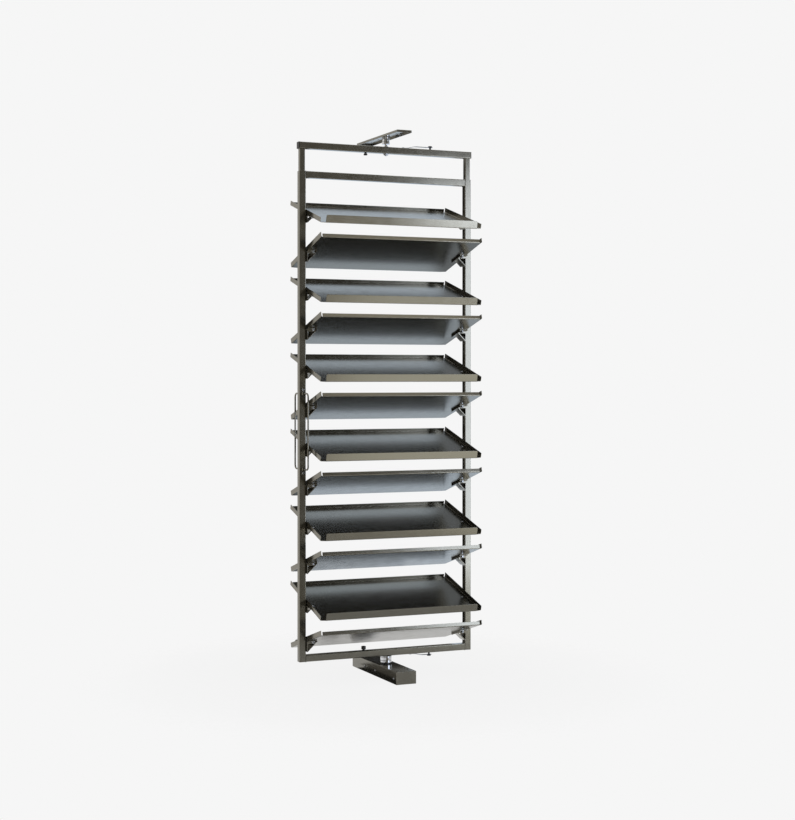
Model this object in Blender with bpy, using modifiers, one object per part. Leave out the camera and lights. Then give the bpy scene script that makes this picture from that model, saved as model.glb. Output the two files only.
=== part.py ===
"""Rotating shoe rack: a tube frame with slanted trays that turns between a base and a top plate.

Units are metres and +Z is up. The origin is on the pivot axis, at the underside of the base.
The frame is wide along X, the front is -Y, and trays face the front and the rear in turn.
"""
import math

import bmesh
import bpy
from mathutils import Matrix, Vector

MM = 0.001
GAP = 0.3 * MM  # play between pieces that touch
CORNER_STEPS = 4  # facets on a rounded corner
TURNED_STEPS = 32  # facets on a turned piece

# Tubes of the lower frame
FRAME_WIDTH = 700 * MM
POST_SIZE = 25 * MM
RAIL_SIZE = 25 * MM
TUBE_WALL = 2 * MM
TUBE_CORNER = 2.5 * MM
FRAME_BOTTOM = 76 * MM
POST_TOP = 1878 * MM
BOTTOM_RAIL_HEIGHT = 25 * MM
POST_X = (FRAME_WIDTH - POST_SIZE) / 2
POST_INNER_FACE = FRAME_WIDTH / 2 - POST_SIZE

# Upper frame, which slides in the lower posts
INNER_POST_SIZE = 20 * MM
INNER_POST_WALL = 1.2 * MM
INNER_POST_OVERLAP = 200 * MM
TOP_RAIL_TOP = 1985 * MM
TOP_RAIL_BOTTOM = TOP_RAIL_TOP - RAIL_SIZE
CAP_SIZE = 25.6 * MM
CAP_THICKNESS = 2.5 * MM
CAP_PLUG_LENGTH = 8 * MM

# Trays: a sheet with a lip on each side, low at one end
TRAY_COUNT = 12
TRAY_TILT = math.radians(16.2)
TRAY_PITCH = 143.1 * MM
FIRST_TRAY_HEIGHT = 1722.8 * MM
TRAY_WIDTH = 646 * MM
TRAY_DEPTH = 327 * MM
SHEET = 1.5 * MM
LOW_LIP_LENGTH = 606 * MM
LOW_LIP_HEIGHT = 28 * MM
HIGH_LIP_LENGTH = 631 * MM
HIGH_LIP_HEIGHT = 12.5 * MM
SIDE_LIP_LOW_END = 158 * MM
SIDE_LIP_HIGH_END = 168 * MM
SIDE_LIP_HEIGHT = 17 * MM
LOW_LIP_CORNER = 6 * MM
LIP_CORNER = 2 * MM
BEND_RADIUS = 1.5 * MM

# Brackets under the trays, on the inner faces of the posts
BRACKET_REACH = 33.5 * MM
BRACKET_DROP = 35 * MM
BRACKET_WIDTH = 46 * MM
BRACKET_STRIP = 3 * MM
BRACKET_TIP_DROP = 6 * MM
BRACKET_TOP_BAR = 5 * MM
FLANGE_REACH = 34.5 * MM
FLANGE_LENGTH = 78 * MM
FLANGE_THICKNESS = 2.5 * MM
FLANGE_LIP = 7.5 * MM

# Wire handles on the front and rear of the left post
HANDLE_CENTRE = 922 * MM
HANDLE_LENGTH = 284 * MM
HANDLE_STANDOFF = 55.5 * MM
HANDLE_BEND = 15 * MM
HANDLE_WIRE = 6 * MM
LUG_CENTRE = 146 * MM
LUG_LENGTH = 29 * MM
LUG_WIDTH = 12 * MM
LUG_THICKNESS = 2.5 * MM

# Base: a cover over a plate that carries the spindle
BASE_WIDTH = 80 * MM
BASE_FRONT = -188 * MM
BASE_REAR = 234 * MM
BASE_HEIGHT = 46.5 * MM
BASE_CORNER = 3 * MM
BASE_WALL = 2 * MM
BASE_PLATE_THICKNESS = 4 * MM
PEDESTAL_RADIUS = 17 * MM
SPINDLE_RADIUS = 8 * MM
SPINDLE_TOP = 94 * MM
SPINDLE_PLAY = 0.5 * MM
ANCHOR_HOLE_RADIUS = 3.2 * MM
ANCHOR_X = 25 * MM
ANCHOR_FROM_END = 30 * MM

# Lower bearing and the hub that turns on it
BEARING_RADIUS = 18.5 * MM
BEARING_HEIGHT = 4.6 * MM
HUB_RADIUS = 21.5 * MM
HUB_CHAMFER = 1.2 * MM
HUB_BOTTOM = BASE_HEIGHT + BEARING_HEIGHT + 2 * GAP

# Upper bearing: a pin on the top rail in a bush under the top plate
PIN_RADIUS = 5.5 * MM
PIN_BOTTOM = 1952 * MM
PIN_TOP = 2019 * MM
PIN_COLLAR_RADIUS = 9 * MM
PIN_COLLAR_HEIGHT = 3 * MM
BUSH_RADIUS = 14.5 * MM
BUSH_BOTTOM = 1995 * MM
BUSH_ROOF = 2 * MM
PLATE_TOP = 2026 * MM
PLATE_WIDTH = 60 * MM
PLATE_FRONT = -172 * MM
PLATE_REAR = 216 * MM
PLATE_DEPTH = 9 * MM
PLATE_SHEET = 2 * MM
PLATE_CORNER = 4 * MM
PLATE_HOLE_RADIUS = 3.2 * MM
PLATE_HOLES_FROM_CENTRE = (119 * MM, 53 * MM)

# Leaf springs on the rails, each with a rubber pad at its free end
LEAF_WIDTH = 12 * MM
LEAF_THICKNESS = 1.2 * MM
LEAF_FOOT = 16 * MM
LEAF_RAMP = 46 * MM
LEAF_TAIL = 9 * MM
LEAF_STEPS = 12
TOP_LEAF_START = 63 * MM
TOP_LEAF_LIFT = 7.5 * MM
TOP_PAD_X = 183 * MM
BOTTOM_LEAF_START = 92 * MM
BOTTOM_LEAF_LIFT = 7 * MM
BOTTOM_PAD_X = 178 * MM
PAD_HEAD_RADIUS = 7.5 * MM
PAD_HEAD_HEIGHT = 4.5 * MM
PAD_STEM_RADIUS = 3.5 * MM
PAD_ROUND = 1 * MM

# Rubber buffers on the inner sides of the top and bottom rails
TOP_BUFFER_X = -83 * MM
TOP_BUFFER_RADIUS = 7 * MM
TOP_BUFFER_HEIGHT = 10 * MM
BOTTOM_BUFFER_X = -91 * MM
BOTTOM_BUFFER_RADIUS = 8.5 * MM
BOTTOM_BUFFER_HEIGHT = 16 * MM
BUFFER_STEM_RADIUS = 4.5 * MM
BUFFER_STEM_HEIGHT = 4 * MM
BUFFER_ROUND = 1.5 * MM


def clear_scene():
    for item in list(bpy.data.objects):
        bpy.data.objects.remove(item, do_unlink=True)


def make_collection(name):
    collection = bpy.data.collections.new(name)
    bpy.context.scene.collection.children.link(collection)
    return collection


def make_material(name, color, roughness, metallic):
    material = bpy.data.materials.new(name)
    material.use_nodes = True
    shader = material.node_tree.nodes["Principled BSDF"]
    shader.inputs["Base Color"].default_value = (*color, 1.0)
    shader.inputs["Roughness"].default_value = roughness
    shader.inputs["Metallic"].default_value = metallic
    return material


clear_scene()
PARTS = make_collection("rotating_shoe_rack")
CUTTERS = make_collection("cutters")
GRAPHITE = make_material("graphite_powder_coat", (0.075, 0.072, 0.068), 0.32, 0.6)
CHROME = make_material("chrome_plate", (0.78, 0.78, 0.79), 0.08, 1.0)
ZINC = make_material("zinc_plated_steel", (0.55, 0.56, 0.58), 0.3, 1.0)
SPRING_STEEL = make_material("spring_steel", (0.22, 0.22, 0.23), 0.3, 1.0)
BLACK_RUBBER = make_material("black_rubber", (0.012, 0.012, 0.013), 0.6, 0.0)
BLACK_PLASTIC = make_material("black_plastic", (0.015, 0.015, 0.016), 0.45, 0.0)


def arc(centre, radius, start, end):
    """Points on an arc between two angles in degrees."""
    points = []
    for step in range(CORNER_STEPS + 1):
        angle = math.radians(start + (end - start) * step / CORNER_STEPS)
        points.append((centre[0] + radius * math.cos(angle), centre[1] + radius * math.sin(angle)))
    return points


def rounded_rectangle(width, height, radius):
    points = []
    for quarter, (sign_x, sign_y) in enumerate(((1, 1), (-1, 1), (-1, -1), (1, -1))):
        centre = (sign_x * (width / 2 - radius), sign_y * (height / 2 - radius))
        points += arc(centre, radius, 90 * quarter, 90 * quarter + 90)
    return points


def weld(mesh):
    """Join the loose caps of a curve to its walls."""
    work = bmesh.new()
    work.from_mesh(mesh)
    bmesh.ops.remove_doubles(work, verts=work.verts, dist=0.001 * MM)
    work.to_mesh(mesh)
    work.free()


def mesh_of(source):
    """Evaluated mesh of a temporary object, which is then removed."""
    bpy.context.scene.collection.objects.link(source)
    depsgraph = bpy.context.evaluated_depsgraph_get()
    mesh = bpy.data.meshes.new_from_object(source.evaluated_get(depsgraph))
    mesh.name = source.name
    bpy.data.objects.remove(source)
    weld(mesh)
    return mesh


def outline_mesh(name, outlines, thickness):
    """Flat piece of one outline with any holes, centred on the XY plane."""
    curve = bpy.data.curves.new(name, "CURVE")
    curve.dimensions = "2D"
    curve.fill_mode = "BOTH"
    curve.extrude = thickness / 2
    for outline in outlines:
        spline = curve.splines.new("POLY")
        spline.points.add(len(outline) - 1)
        spline.use_cyclic_u = True
        for point, (x, y) in zip(spline.points, outline):
            point.co = (x, y, 0, 1)
    return mesh_of(bpy.data.objects.new(name, curve))


def wire_mesh(name, path, diameter):
    """Round wire along a path of points, with closed ends."""
    curve = bpy.data.curves.new(name, "CURVE")
    curve.dimensions = "3D"
    curve.bevel_depth = diameter / 2
    curve.bevel_resolution = 3
    curve.use_fill_caps = True
    spline = curve.splines.new("POLY")
    spline.points.add(len(path) - 1)
    for point, place in zip(spline.points, path):
        point.co = (*place, 1)
    return mesh_of(bpy.data.objects.new(name, curve))


def turned_mesh(name, profile, is_ring=False):
    """Piece turned about Z from a profile of (radius, height) that runs down its outer side."""
    count = len(profile)
    edges = [(index, index + 1) for index in range(count - 1)]
    if is_ring:
        edges.append((count - 1, 0))
    mesh = bpy.data.meshes.new(name)
    mesh.from_pydata([(radius, 0, height) for radius, height in profile], edges, [])
    source = bpy.data.objects.new(name, mesh)
    screw = source.modifiers.new("turn", "SCREW")
    screw.steps = TURNED_STEPS
    screw.render_steps = TURNED_STEPS
    screw.use_merge_vertices = True
    screw.merge_threshold = 0.01 * MM
    turned = mesh_of(source)
    turned.shade_smooth()
    turned.set_sharp_from_angle(angle=math.radians(40))
    return turned


def box_mesh(name, size):
    work = bmesh.new()
    bmesh.ops.create_cube(work, size=1, matrix=Matrix.Diagonal((*size, 1)))
    mesh = bpy.data.meshes.new(name)
    work.to_mesh(mesh)
    work.free()
    return mesh


def combine(body_mesh, tool_meshes, operation):
    """Mesh of a body joined with, or cut by, the other meshes."""
    body = bpy.data.objects.new(body_mesh.name, body_mesh)
    tools = []
    for tool_mesh in tool_meshes:
        tool = bpy.data.objects.new(tool_mesh.name, tool_mesh)
        bpy.context.scene.collection.objects.link(tool)
        boolean = body.modifiers.new("combine", "BOOLEAN")
        boolean.operation = operation
        boolean.object = tool
        tools.append(tool)
    mesh = mesh_of(body)
    for tool in tools:
        bpy.data.objects.remove(tool)
    return mesh


def world_of(item):
    """World place of a carrier; carriers are never turned."""
    if item is None:
        return Vector((0, 0, 0))
    return world_of(item.parent) + item.location


def make_carrier(name, height, parent):
    """Empty on the pivot axis that a group of parts moves with."""
    carrier = bpy.data.objects.new(name, None)
    carrier.parent = parent
    carrier.location = Vector((0, 0, height)) - world_of(parent)
    carrier.empty_display_size = 50 * MM
    PARTS.objects.link(carrier)
    return carrier


def add_part(name, mesh, material, carrier, place, rotation=(0, 0, 0)):
    """Put a part at a place in the world, carried by an empty."""
    part = bpy.data.objects.new(name, mesh)
    if not mesh.materials:
        mesh.materials.append(material)
    part.parent = carrier
    part.location = Vector(place) - world_of(carrier)
    part.rotation_euler = rotation
    PARTS.objects.link(part)
    return part


def drill(part, place, radius, depth):
    """Upright round hole centred at a place in the world."""
    work = bmesh.new()
    bmesh.ops.create_cone(
        work, cap_ends=True, segments=TURNED_STEPS, radius1=radius, radius2=radius, depth=depth
    )
    mesh = bpy.data.meshes.new(part.name + "_drill")
    work.to_mesh(mesh)
    work.free()
    cutter = bpy.data.objects.new(mesh.name, mesh)
    cutter.parent = part.parent
    cutter.location = Vector(place) - world_of(part.parent)
    cutter.hide_render = True
    cutter.display_type = "WIRE"
    CUTTERS.objects.link(cutter)
    hole = part.modifiers.new("hole", "BOOLEAN")
    hole.operation = "DIFFERENCE"
    hole.object = cutter


BASE = make_carrier("base_carrier", 0, None)
RACK = make_carrier("rack_carrier", HUB_BOTTOM, BASE)
TOP_FRAME = make_carrier("top_frame_carrier", POST_TOP, RACK)
TOP_PLATE = make_carrier("top_plate_carrier", PLATE_TOP, TOP_FRAME)

ALONG_X = (0, math.radians(90), 0)
HALF_TURN = (0, 0, math.pi)
UPSIDE_DOWN = (math.pi, 0, 0)


def square_tube(name, width, height, wall, length):
    outer = rounded_rectangle(width, height, TUBE_CORNER)
    inner = rounded_rectangle(width - 2 * wall, height - 2 * wall, TUBE_CORNER - wall)
    return outline_mesh(name, [outer, inner], length)


def build_lower_frame():
    post_length = POST_TOP - FRAME_BOTTOM
    post_middle = (POST_TOP + FRAME_BOTTOM) / 2
    for name, side in (("left_post", -1), ("right_post", 1)):
        post = square_tube(name, POST_SIZE, POST_SIZE, TUBE_WALL, post_length)
        add_part(name, post, GRAPHITE, RACK, (side * POST_X, 0, post_middle))

    rail_length = 2 * POST_INNER_FACE - 2 * GAP
    rail_middle = FRAME_BOTTOM + BOTTOM_RAIL_HEIGHT / 2
    mesh = square_tube("bottom_rail", BOTTOM_RAIL_HEIGHT, RAIL_SIZE, TUBE_WALL, rail_length)
    rail = add_part("bottom_rail", mesh, GRAPHITE, RACK, (0, 0, rail_middle), ALONG_X)
    drill(rail, (0, 0, FRAME_BOTTOM), SPINDLE_RADIUS + SPINDLE_PLAY, 4 * TUBE_WALL)

    mesh = square_tube("cross_rail", RAIL_SIZE, RAIL_SIZE, TUBE_WALL, rail_length)
    add_part("cross_rail", mesh, GRAPHITE, RACK, (0, 0, POST_TOP - RAIL_SIZE / 2), ALONG_X)


def build_upper_frame():
    inner_bottom = POST_TOP - INNER_POST_OVERLAP
    inner_top = TOP_RAIL_BOTTOM - GAP
    for name, side in (("left_inner_post", -1), ("right_inner_post", 1)):
        mesh = square_tube(name, INNER_POST_SIZE, INNER_POST_SIZE, INNER_POST_WALL, inner_top - inner_bottom)
        add_part(name, mesh, GRAPHITE, TOP_FRAME, (side * POST_X, 0, (inner_top + inner_bottom) / 2))

    mesh = square_tube("top_rail", RAIL_SIZE, RAIL_SIZE, TUBE_WALL, FRAME_WIDTH)
    rail_middle = TOP_RAIL_TOP - RAIL_SIZE / 2
    rail = add_part("top_rail", mesh, GRAPHITE, TOP_FRAME, (0, 0, rail_middle), ALONG_X)
    drill(rail, (0, 0, rail_middle), PIN_RADIUS + GAP, 2 * RAIL_SIZE)

    for name, side in (("left_end_cap", -1), ("right_end_cap", 1)):
        place = (side * (FRAME_WIDTH / 2 + GAP), 0, rail_middle)
        rotation = (0, side * math.radians(90), 0)
        add_part(name, end_cap_mesh(name), BLACK_PLASTIC, TOP_FRAME, place, rotation)


def end_cap_mesh(name):
    """Flat cap with a plug that fits the tube; the cap lies on the XY plane and the plug hangs down."""
    plate = outline_mesh(name, [rounded_rectangle(CAP_SIZE, CAP_SIZE, TUBE_CORNER)], CAP_THICKNESS)
    plate.transform(Matrix.Translation((0, 0, CAP_THICKNESS / 2)))
    plug_size = RAIL_SIZE - 2 * TUBE_WALL - 2 * GAP
    plug = box_mesh("plug", (plug_size, plug_size, CAP_PLUG_LENGTH + CAP_THICKNESS / 2))
    plug.transform(Matrix.Translation((0, 0, CAP_THICKNESS / 4 - CAP_PLUG_LENGTH / 2)))
    return combine(plate, [plug], "UNION")


def fold_lip(sheet, edge, outward, height, corner):
    """Fold a lip up from one edge of the sheet, with a round bend and rounded upper corners."""
    up = Vector((0, 0, 1))
    moves = []
    for step in range(CORNER_STEPS):
        start = math.radians(90 * step / CORNER_STEPS)
        end = math.radians(90 * (step + 1) / CORNER_STEPS)
        across = BEND_RADIUS * (math.sin(end) - math.sin(start))
        rise = BEND_RADIUS * (math.cos(start) - math.cos(end))
        moves.append(across * outward + rise * up)
    moves.append((height - BEND_RADIUS) * up)
    for move in moves:
        geometry = bmesh.ops.extrude_edge_only(sheet, edges=[edge])["geom"]
        corners = [item for item in geometry if isinstance(item, bmesh.types.BMVert)]
        bmesh.ops.translate(sheet, verts=corners, vec=move)
        edge = sheet.edges.get(corners)
    bmesh.ops.bevel(
        sheet, geom=corners, offset=corner, segments=CORNER_STEPS, profile=0.5, affect="VERTICES"
    )


def tray_mesh():
    """Tray laid level, with its low lip towards -Y and the top of its sheet on the XY plane."""
    flat_x = TRAY_WIDTH / 2 - SHEET - BEND_RADIUS
    flat_y = TRAY_DEPTH / 2 - SHEET - BEND_RADIUS
    low_x = LOW_LIP_LENGTH / 2
    high_x = HIGH_LIP_LENGTH / 2
    side_low = (flat_x, -SIDE_LIP_LOW_END)
    side_high = (flat_x, SIDE_LIP_HIGH_END)
    lips = (
        ((-low_x, -flat_y), (low_x, -flat_y), (0, -1), LOW_LIP_HEIGHT, LOW_LIP_CORNER),
        (side_low, side_high, (1, 0), SIDE_LIP_HEIGHT, LIP_CORNER),
        ((high_x, flat_y), (-high_x, flat_y), (0, 1), HIGH_LIP_HEIGHT, LIP_CORNER),
        ((-flat_x, side_high[1]), (-flat_x, side_low[1]), (-1, 0), SIDE_LIP_HEIGHT, LIP_CORNER),
    )
    sheet = bmesh.new()
    rim = []
    for start, end, *_ in lips:
        rim += [sheet.verts.new((*start, 0)), sheet.verts.new((*end, 0))]
    sheet.faces.new(rim)
    for index, (_, _, outward, height, corner) in enumerate(lips):
        edge = sheet.edges.get(rim[2 * index:2 * index + 2])
        fold_lip(sheet, edge, Vector((*outward, 0)), height, corner)
    bmesh.ops.recalc_face_normals(sheet, faces=sheet.faces)
    mesh = bpy.data.meshes.new("tray")
    sheet.to_mesh(mesh)
    sheet.free()
    source = bpy.data.objects.new("tray", mesh)
    solidify = source.modifiers.new("sheet", "SOLIDIFY")
    solidify.thickness = SHEET
    solidify.offset = 1
    solidify.use_even_offset = True
    return mesh_of(source)


def bracket_mesh(name, inward):
    """Bracket on the face of a post, level with a tray's middle; inward is the sign of X it reaches in."""
    foot = GAP + BRACKET_STRIP
    slope = (BRACKET_DROP - BRACKET_TIP_DROP) / (BRACKET_REACH - foot)
    strut_rise = BRACKET_STRIP * math.hypot(1, slope)
    window_low = -BRACKET_DROP + strut_rise
    window_tip = foot + (-BRACKET_TOP_BAR - window_low) / slope
    frame = [
        (GAP, BRACKET_TOP_BAR),
        (GAP, -BRACKET_DROP),
        (foot, -BRACKET_DROP),
        (BRACKET_REACH, -BRACKET_TIP_DROP),
        (BRACKET_REACH, BRACKET_TOP_BAR),
    ]
    window = [(foot, -BRACKET_TOP_BAR), (foot, window_low), (window_tip, -BRACKET_TOP_BAR)]
    outlines = [[(inward * x, z) for x, z in outline] for outline in (frame, window)]
    upright = Matrix.Rotation(math.radians(90), 4, "X")
    body = outline_mesh(name, outlines, BRACKET_WIDTH)
    body.transform(upright)

    # The flange lies against the tray's underside, and its inner end is turned down.
    tilt = Matrix.Rotation(TRAY_TILT, 4, "X")
    under_sheet = -SHEET - GAP
    lip_inside = FLANGE_REACH - FLANGE_THICKNESS
    profile = [
        (GAP, 0),
        (FLANGE_REACH, 0),
        (FLANGE_REACH, -FLANGE_LIP),
        (lip_inside, -FLANGE_LIP),
        (lip_inside, -FLANGE_THICKNESS),
        (GAP, -FLANGE_THICKNESS),
    ]
    flange = outline_mesh("flange", [[(inward * x, z) for x, z in profile]], FLANGE_LENGTH)
    flange.transform(tilt @ Matrix.Translation((0, 0, under_sheet)) @ upright)
    body = combine(body, [flange], "UNION")

    room = 4 * FLANGE_REACH
    above = box_mesh("above", (room, room, room))
    above.transform(tilt @ Matrix.Translation((0, 0, under_sheet + room / 2)))
    return combine(body, [above], "DIFFERENCE")


def build_trays():
    """Trays from the top down; every second one is turned to face the rear."""
    tray = tray_mesh()
    brackets = {-1: bracket_mesh("outer_bracket", 1), 1: bracket_mesh("inner_bracket", -1)}
    for index in range(TRAY_COUNT):
        height = FIRST_TRAY_HEIGHT - index * TRAY_PITCH
        label = f"{index + 1:02d}"
        faces_rear = index % 2 == 1
        rotation = (TRAY_TILT, 0, math.pi if faces_rear else 0)
        add_part(f"tray_{label}", tray, GRAPHITE, RACK, (0, 0, height), rotation)
        for name, side in (("left", -1), ("right", 1)):
            mesh = brackets[-side if faces_rear else side]
            turn = HALF_TURN if faces_rear else (0, 0, 0)
            place = (side * POST_INNER_FACE, 0, height)
            add_part(f"bracket_{label}_{name}", mesh, GRAPHITE, RACK, place, turn)


def handle_mesh():
    """Bent wire with a flat lug at each end; it stands on the XZ plane and reaches to -Y."""
    leg = (HANDLE_LENGTH - HANDLE_WIRE) / 2
    bend_y = -(HANDLE_STANDOFF - HANDLE_BEND)
    foot_y = -(GAP + LUG_THICKNESS / 2)
    path = [(foot_y, -leg)]
    path += arc((bend_y, HANDLE_BEND - leg), HANDLE_BEND, 270, 180)
    path += arc((bend_y, leg - HANDLE_BEND), HANDLE_BEND, 180, 90)
    path.append((foot_y, leg))
    wire = wire_mesh("handle", [(0, y, z) for y, z in path], HANDLE_WIRE)
    lugs = []
    for end in (-1, 1):
        lug = outline_mesh("lug", [rounded_rectangle(LUG_WIDTH, LUG_LENGTH, LUG_WIDTH / 2)], LUG_THICKNESS)
        upright = Matrix.Rotation(math.radians(90), 4, "X")
        lug.transform(Matrix.Translation((0, foot_y, end * LUG_CENTRE)) @ upright)
        lugs.append(lug)
    handle = combine(wire, lugs, "UNION")
    handle.shade_smooth()
    handle.set_sharp_from_angle(angle=math.radians(40))
    return handle


def build_handles():
    mesh = handle_mesh()
    face = POST_SIZE / 2
    add_part("front_handle", mesh, GRAPHITE, RACK, (-POST_X, -face, HANDLE_CENTRE))
    add_part("rear_handle", mesh, GRAPHITE, RACK, (-POST_X, face, HANDLE_CENTRE), HALF_TURN)


def build_base():
    length = BASE_REAR - BASE_FRONT
    middle_y = (BASE_REAR + BASE_FRONT) / 2
    cover = outline_mesh("base_cover", [rounded_rectangle(BASE_WIDTH, length, BASE_CORNER)], BASE_HEIGHT)
    inside = box_mesh("inside", (BASE_WIDTH - 2 * BASE_WALL, length - 2 * BASE_WALL, BASE_HEIGHT))
    inside.transform(Matrix.Translation((0, 0, -BASE_WALL)))
    cover = combine(cover, [inside], "DIFFERENCE")
    part = add_part("base_cover", cover, GRAPHITE, BASE, (0, middle_y, BASE_HEIGHT / 2))
    drill(part, (0, 0, BASE_HEIGHT), PEDESTAL_RADIUS + SPINDLE_PLAY, 4 * BASE_WALL)

    play = 2 * (BASE_WALL + GAP)
    plate = box_mesh("base_plate", (BASE_WIDTH - play, length - play, BASE_PLATE_THICKNESS))
    plate.transform(Matrix.Translation((0, middle_y, BASE_PLATE_THICKNESS / 2)))
    spindle = turned_mesh("spindle", [
        (0, SPINDLE_TOP),
        (SPINDLE_RADIUS - HUB_CHAMFER, SPINDLE_TOP),
        (SPINDLE_RADIUS, SPINDLE_TOP - HUB_CHAMFER),
        (SPINDLE_RADIUS, BASE_HEIGHT),
        (PEDESTAL_RADIUS, BASE_HEIGHT),
        (PEDESTAL_RADIUS, BASE_PLATE_THICKNESS / 2),
        (0, BASE_PLATE_THICKNESS / 2),
    ])
    part = add_part("base_plate", combine(plate, [spindle], "UNION"), ZINC, BASE, (0, 0, 0))
    for x in (-ANCHOR_X, ANCHOR_X):
        for y in (BASE_FRONT + ANCHOR_FROM_END, BASE_REAR - ANCHOR_FROM_END):
            drill(part, (x, y, BASE_PLATE_THICKNESS / 2), ANCHOR_HOLE_RADIUS, 2 * BASE_PLATE_THICKNESS)

    bore = SPINDLE_RADIUS + SPINDLE_PLAY
    bearing_bottom = BASE_HEIGHT + GAP
    bearing = turned_mesh("thrust_bearing", [
        (BEARING_RADIUS, bearing_bottom + BEARING_HEIGHT),
        (BEARING_RADIUS, bearing_bottom),
        (bore, bearing_bottom),
        (bore, bearing_bottom + BEARING_HEIGHT),
    ], is_ring=True)
    add_part("thrust_bearing", bearing, SPRING_STEEL, BASE, (0, 0, 0))


def build_hub():
    bore = SPINDLE_RADIUS + SPINDLE_PLAY
    height = FRAME_BOTTOM - GAP - HUB_BOTTOM
    hub = turned_mesh("pivot_hub", [
        (HUB_RADIUS - HUB_CHAMFER, height),
        (HUB_RADIUS, height - HUB_CHAMFER),
        (HUB_RADIUS, HUB_CHAMFER),
        (HUB_RADIUS - HUB_CHAMFER, 0),
        (bore, 0),
        (bore, height),
    ], is_ring=True)
    add_part("pivot_hub", hub, CHROME, RACK, (0, 0, HUB_BOTTOM))


def build_top_bearing():
    collar_bottom = TOP_RAIL_TOP + GAP
    collar_top = collar_bottom + PIN_COLLAR_HEIGHT
    pin = turned_mesh("top_pin", [
        (0, PIN_TOP),
        (PIN_RADIUS - HUB_CHAMFER, PIN_TOP),
        (PIN_RADIUS, PIN_TOP - HUB_CHAMFER),
        (PIN_RADIUS, collar_top),
        (PIN_COLLAR_RADIUS, collar_top),
        (PIN_COLLAR_RADIUS, collar_bottom),
        (PIN_RADIUS, collar_bottom),
        (PIN_RADIUS, PIN_BOTTOM),
        (0, PIN_BOTTOM),
    ])
    add_part("top_pin", pin, CHROME, TOP_FRAME, (0, 0, 0))

    bush_top = PLATE_TOP - PLATE_SHEET - GAP
    bore = PIN_RADIUS + GAP
    bush = turned_mesh("top_bush", [
        (0, bush_top),
        (BUSH_RADIUS, bush_top),
        (BUSH_RADIUS, BUSH_BOTTOM + HUB_CHAMFER),
        (BUSH_RADIUS - HUB_CHAMFER, BUSH_BOTTOM),
        (bore, BUSH_BOTTOM),
        (bore, bush_top - BUSH_ROOF),
        (0, bush_top - BUSH_ROOF),
    ])
    add_part("top_bush", bush, CHROME, TOP_PLATE, (0, 0, 0))


def build_top_plate():
    """Shallow pan with its edges turned down, drilled along its middle."""
    length = PLATE_REAR - PLATE_FRONT
    middle_y = (PLATE_REAR + PLATE_FRONT) / 2
    outline = rounded_rectangle(PLATE_WIDTH, length, PLATE_CORNER)
    pan = outline_mesh("top_plate", [outline], PLATE_DEPTH)
    hollow_outline = rounded_rectangle(
        PLATE_WIDTH - 2 * PLATE_SHEET, length - 2 * PLATE_SHEET, PLATE_CORNER - PLATE_SHEET
    )
    hollow = outline_mesh("hollow", [hollow_outline], PLATE_DEPTH)
    hollow.transform(Matrix.Translation((0, 0, -PLATE_SHEET)))
    pan = combine(pan, [hollow], "DIFFERENCE")
    part = add_part("top_plate", pan, GRAPHITE, TOP_PLATE, (0, middle_y, PLATE_TOP - PLATE_DEPTH / 2))
    for offset in PLATE_HOLES_FROM_CENTRE:
        for y in (middle_y - offset, middle_y + offset):
            drill(part, (0, y, PLATE_TOP), PLATE_HOLE_RADIUS, 4 * PLATE_SHEET)


def leaf_mesh(name, length, lift):
    """Side view of a leaf in the XY plane: a foot on the rail, a smooth ramp and a level arm."""
    points = [(0, GAP)]
    for step in range(LEAF_STEPS + 1):
        share = step / LEAF_STEPS
        points.append((LEAF_FOOT + LEAF_RAMP * share, GAP + lift * share * share * (3 - 2 * share)))
    points.append((length, GAP + lift))
    upper = [(x, y + LEAF_THICKNESS) for x, y in reversed(points)]
    return outline_mesh(name, [points + upper], LEAF_WIDTH)


def pad_mesh(name, lift):
    """Rubber pad turned about Z: a stem down to the rail and a head that rests on the leaf."""
    head_bottom = lift + LEAF_THICKNESS + 2 * GAP
    head_top = head_bottom + PAD_HEAD_HEIGHT
    return turned_mesh(name, [
        (0, head_top),
        (PAD_HEAD_RADIUS - PAD_ROUND, head_top),
        (PAD_HEAD_RADIUS, head_top - PAD_ROUND),
        (PAD_HEAD_RADIUS, head_bottom),
        (PAD_STEM_RADIUS, head_bottom),
        (PAD_STEM_RADIUS, GAP),
        (0, GAP),
    ])


def buffer_mesh(name, radius, height):
    """Rubber knob turned about Z on a short stem."""
    return turned_mesh(name, [
        (0, height),
        (radius - BUFFER_ROUND, height),
        (radius, height - BUFFER_ROUND),
        (radius, BUFFER_STEM_HEIGHT + BUFFER_ROUND),
        (radius - BUFFER_ROUND, BUFFER_STEM_HEIGHT),
        (BUFFER_STEM_RADIUS, BUFFER_STEM_HEIGHT),
        (BUFFER_STEM_RADIUS, GAP),
        (0, GAP),
    ])


def build_leaf(prefix, carrier, face, outward, start, lift, pad_x):
    """Leaf spring and pad on the outer face of a rail; outward is the sign of Z it points in."""
    mesh = leaf_mesh(prefix + "_leaf_spring", pad_x + LEAF_TAIL - start, lift)
    upright = (outward * math.radians(90), 0, 0)
    leaf = add_part(prefix + "_leaf_spring", mesh, SPRING_STEEL, carrier, (start, 0, face), upright)
    hole_height = face + outward * (lift + LEAF_THICKNESS / 2)
    drill(leaf, (pad_x, 0, hole_height), PAD_STEM_RADIUS + GAP, 4 * LEAF_THICKNESS)
    turn = (0, 0, 0) if outward > 0 else UPSIDE_DOWN
    mesh = pad_mesh(prefix + "_spring_pad", lift)
    add_part(prefix + "_spring_pad", mesh, BLACK_RUBBER, carrier, (pad_x, 0, face), turn)


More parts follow.
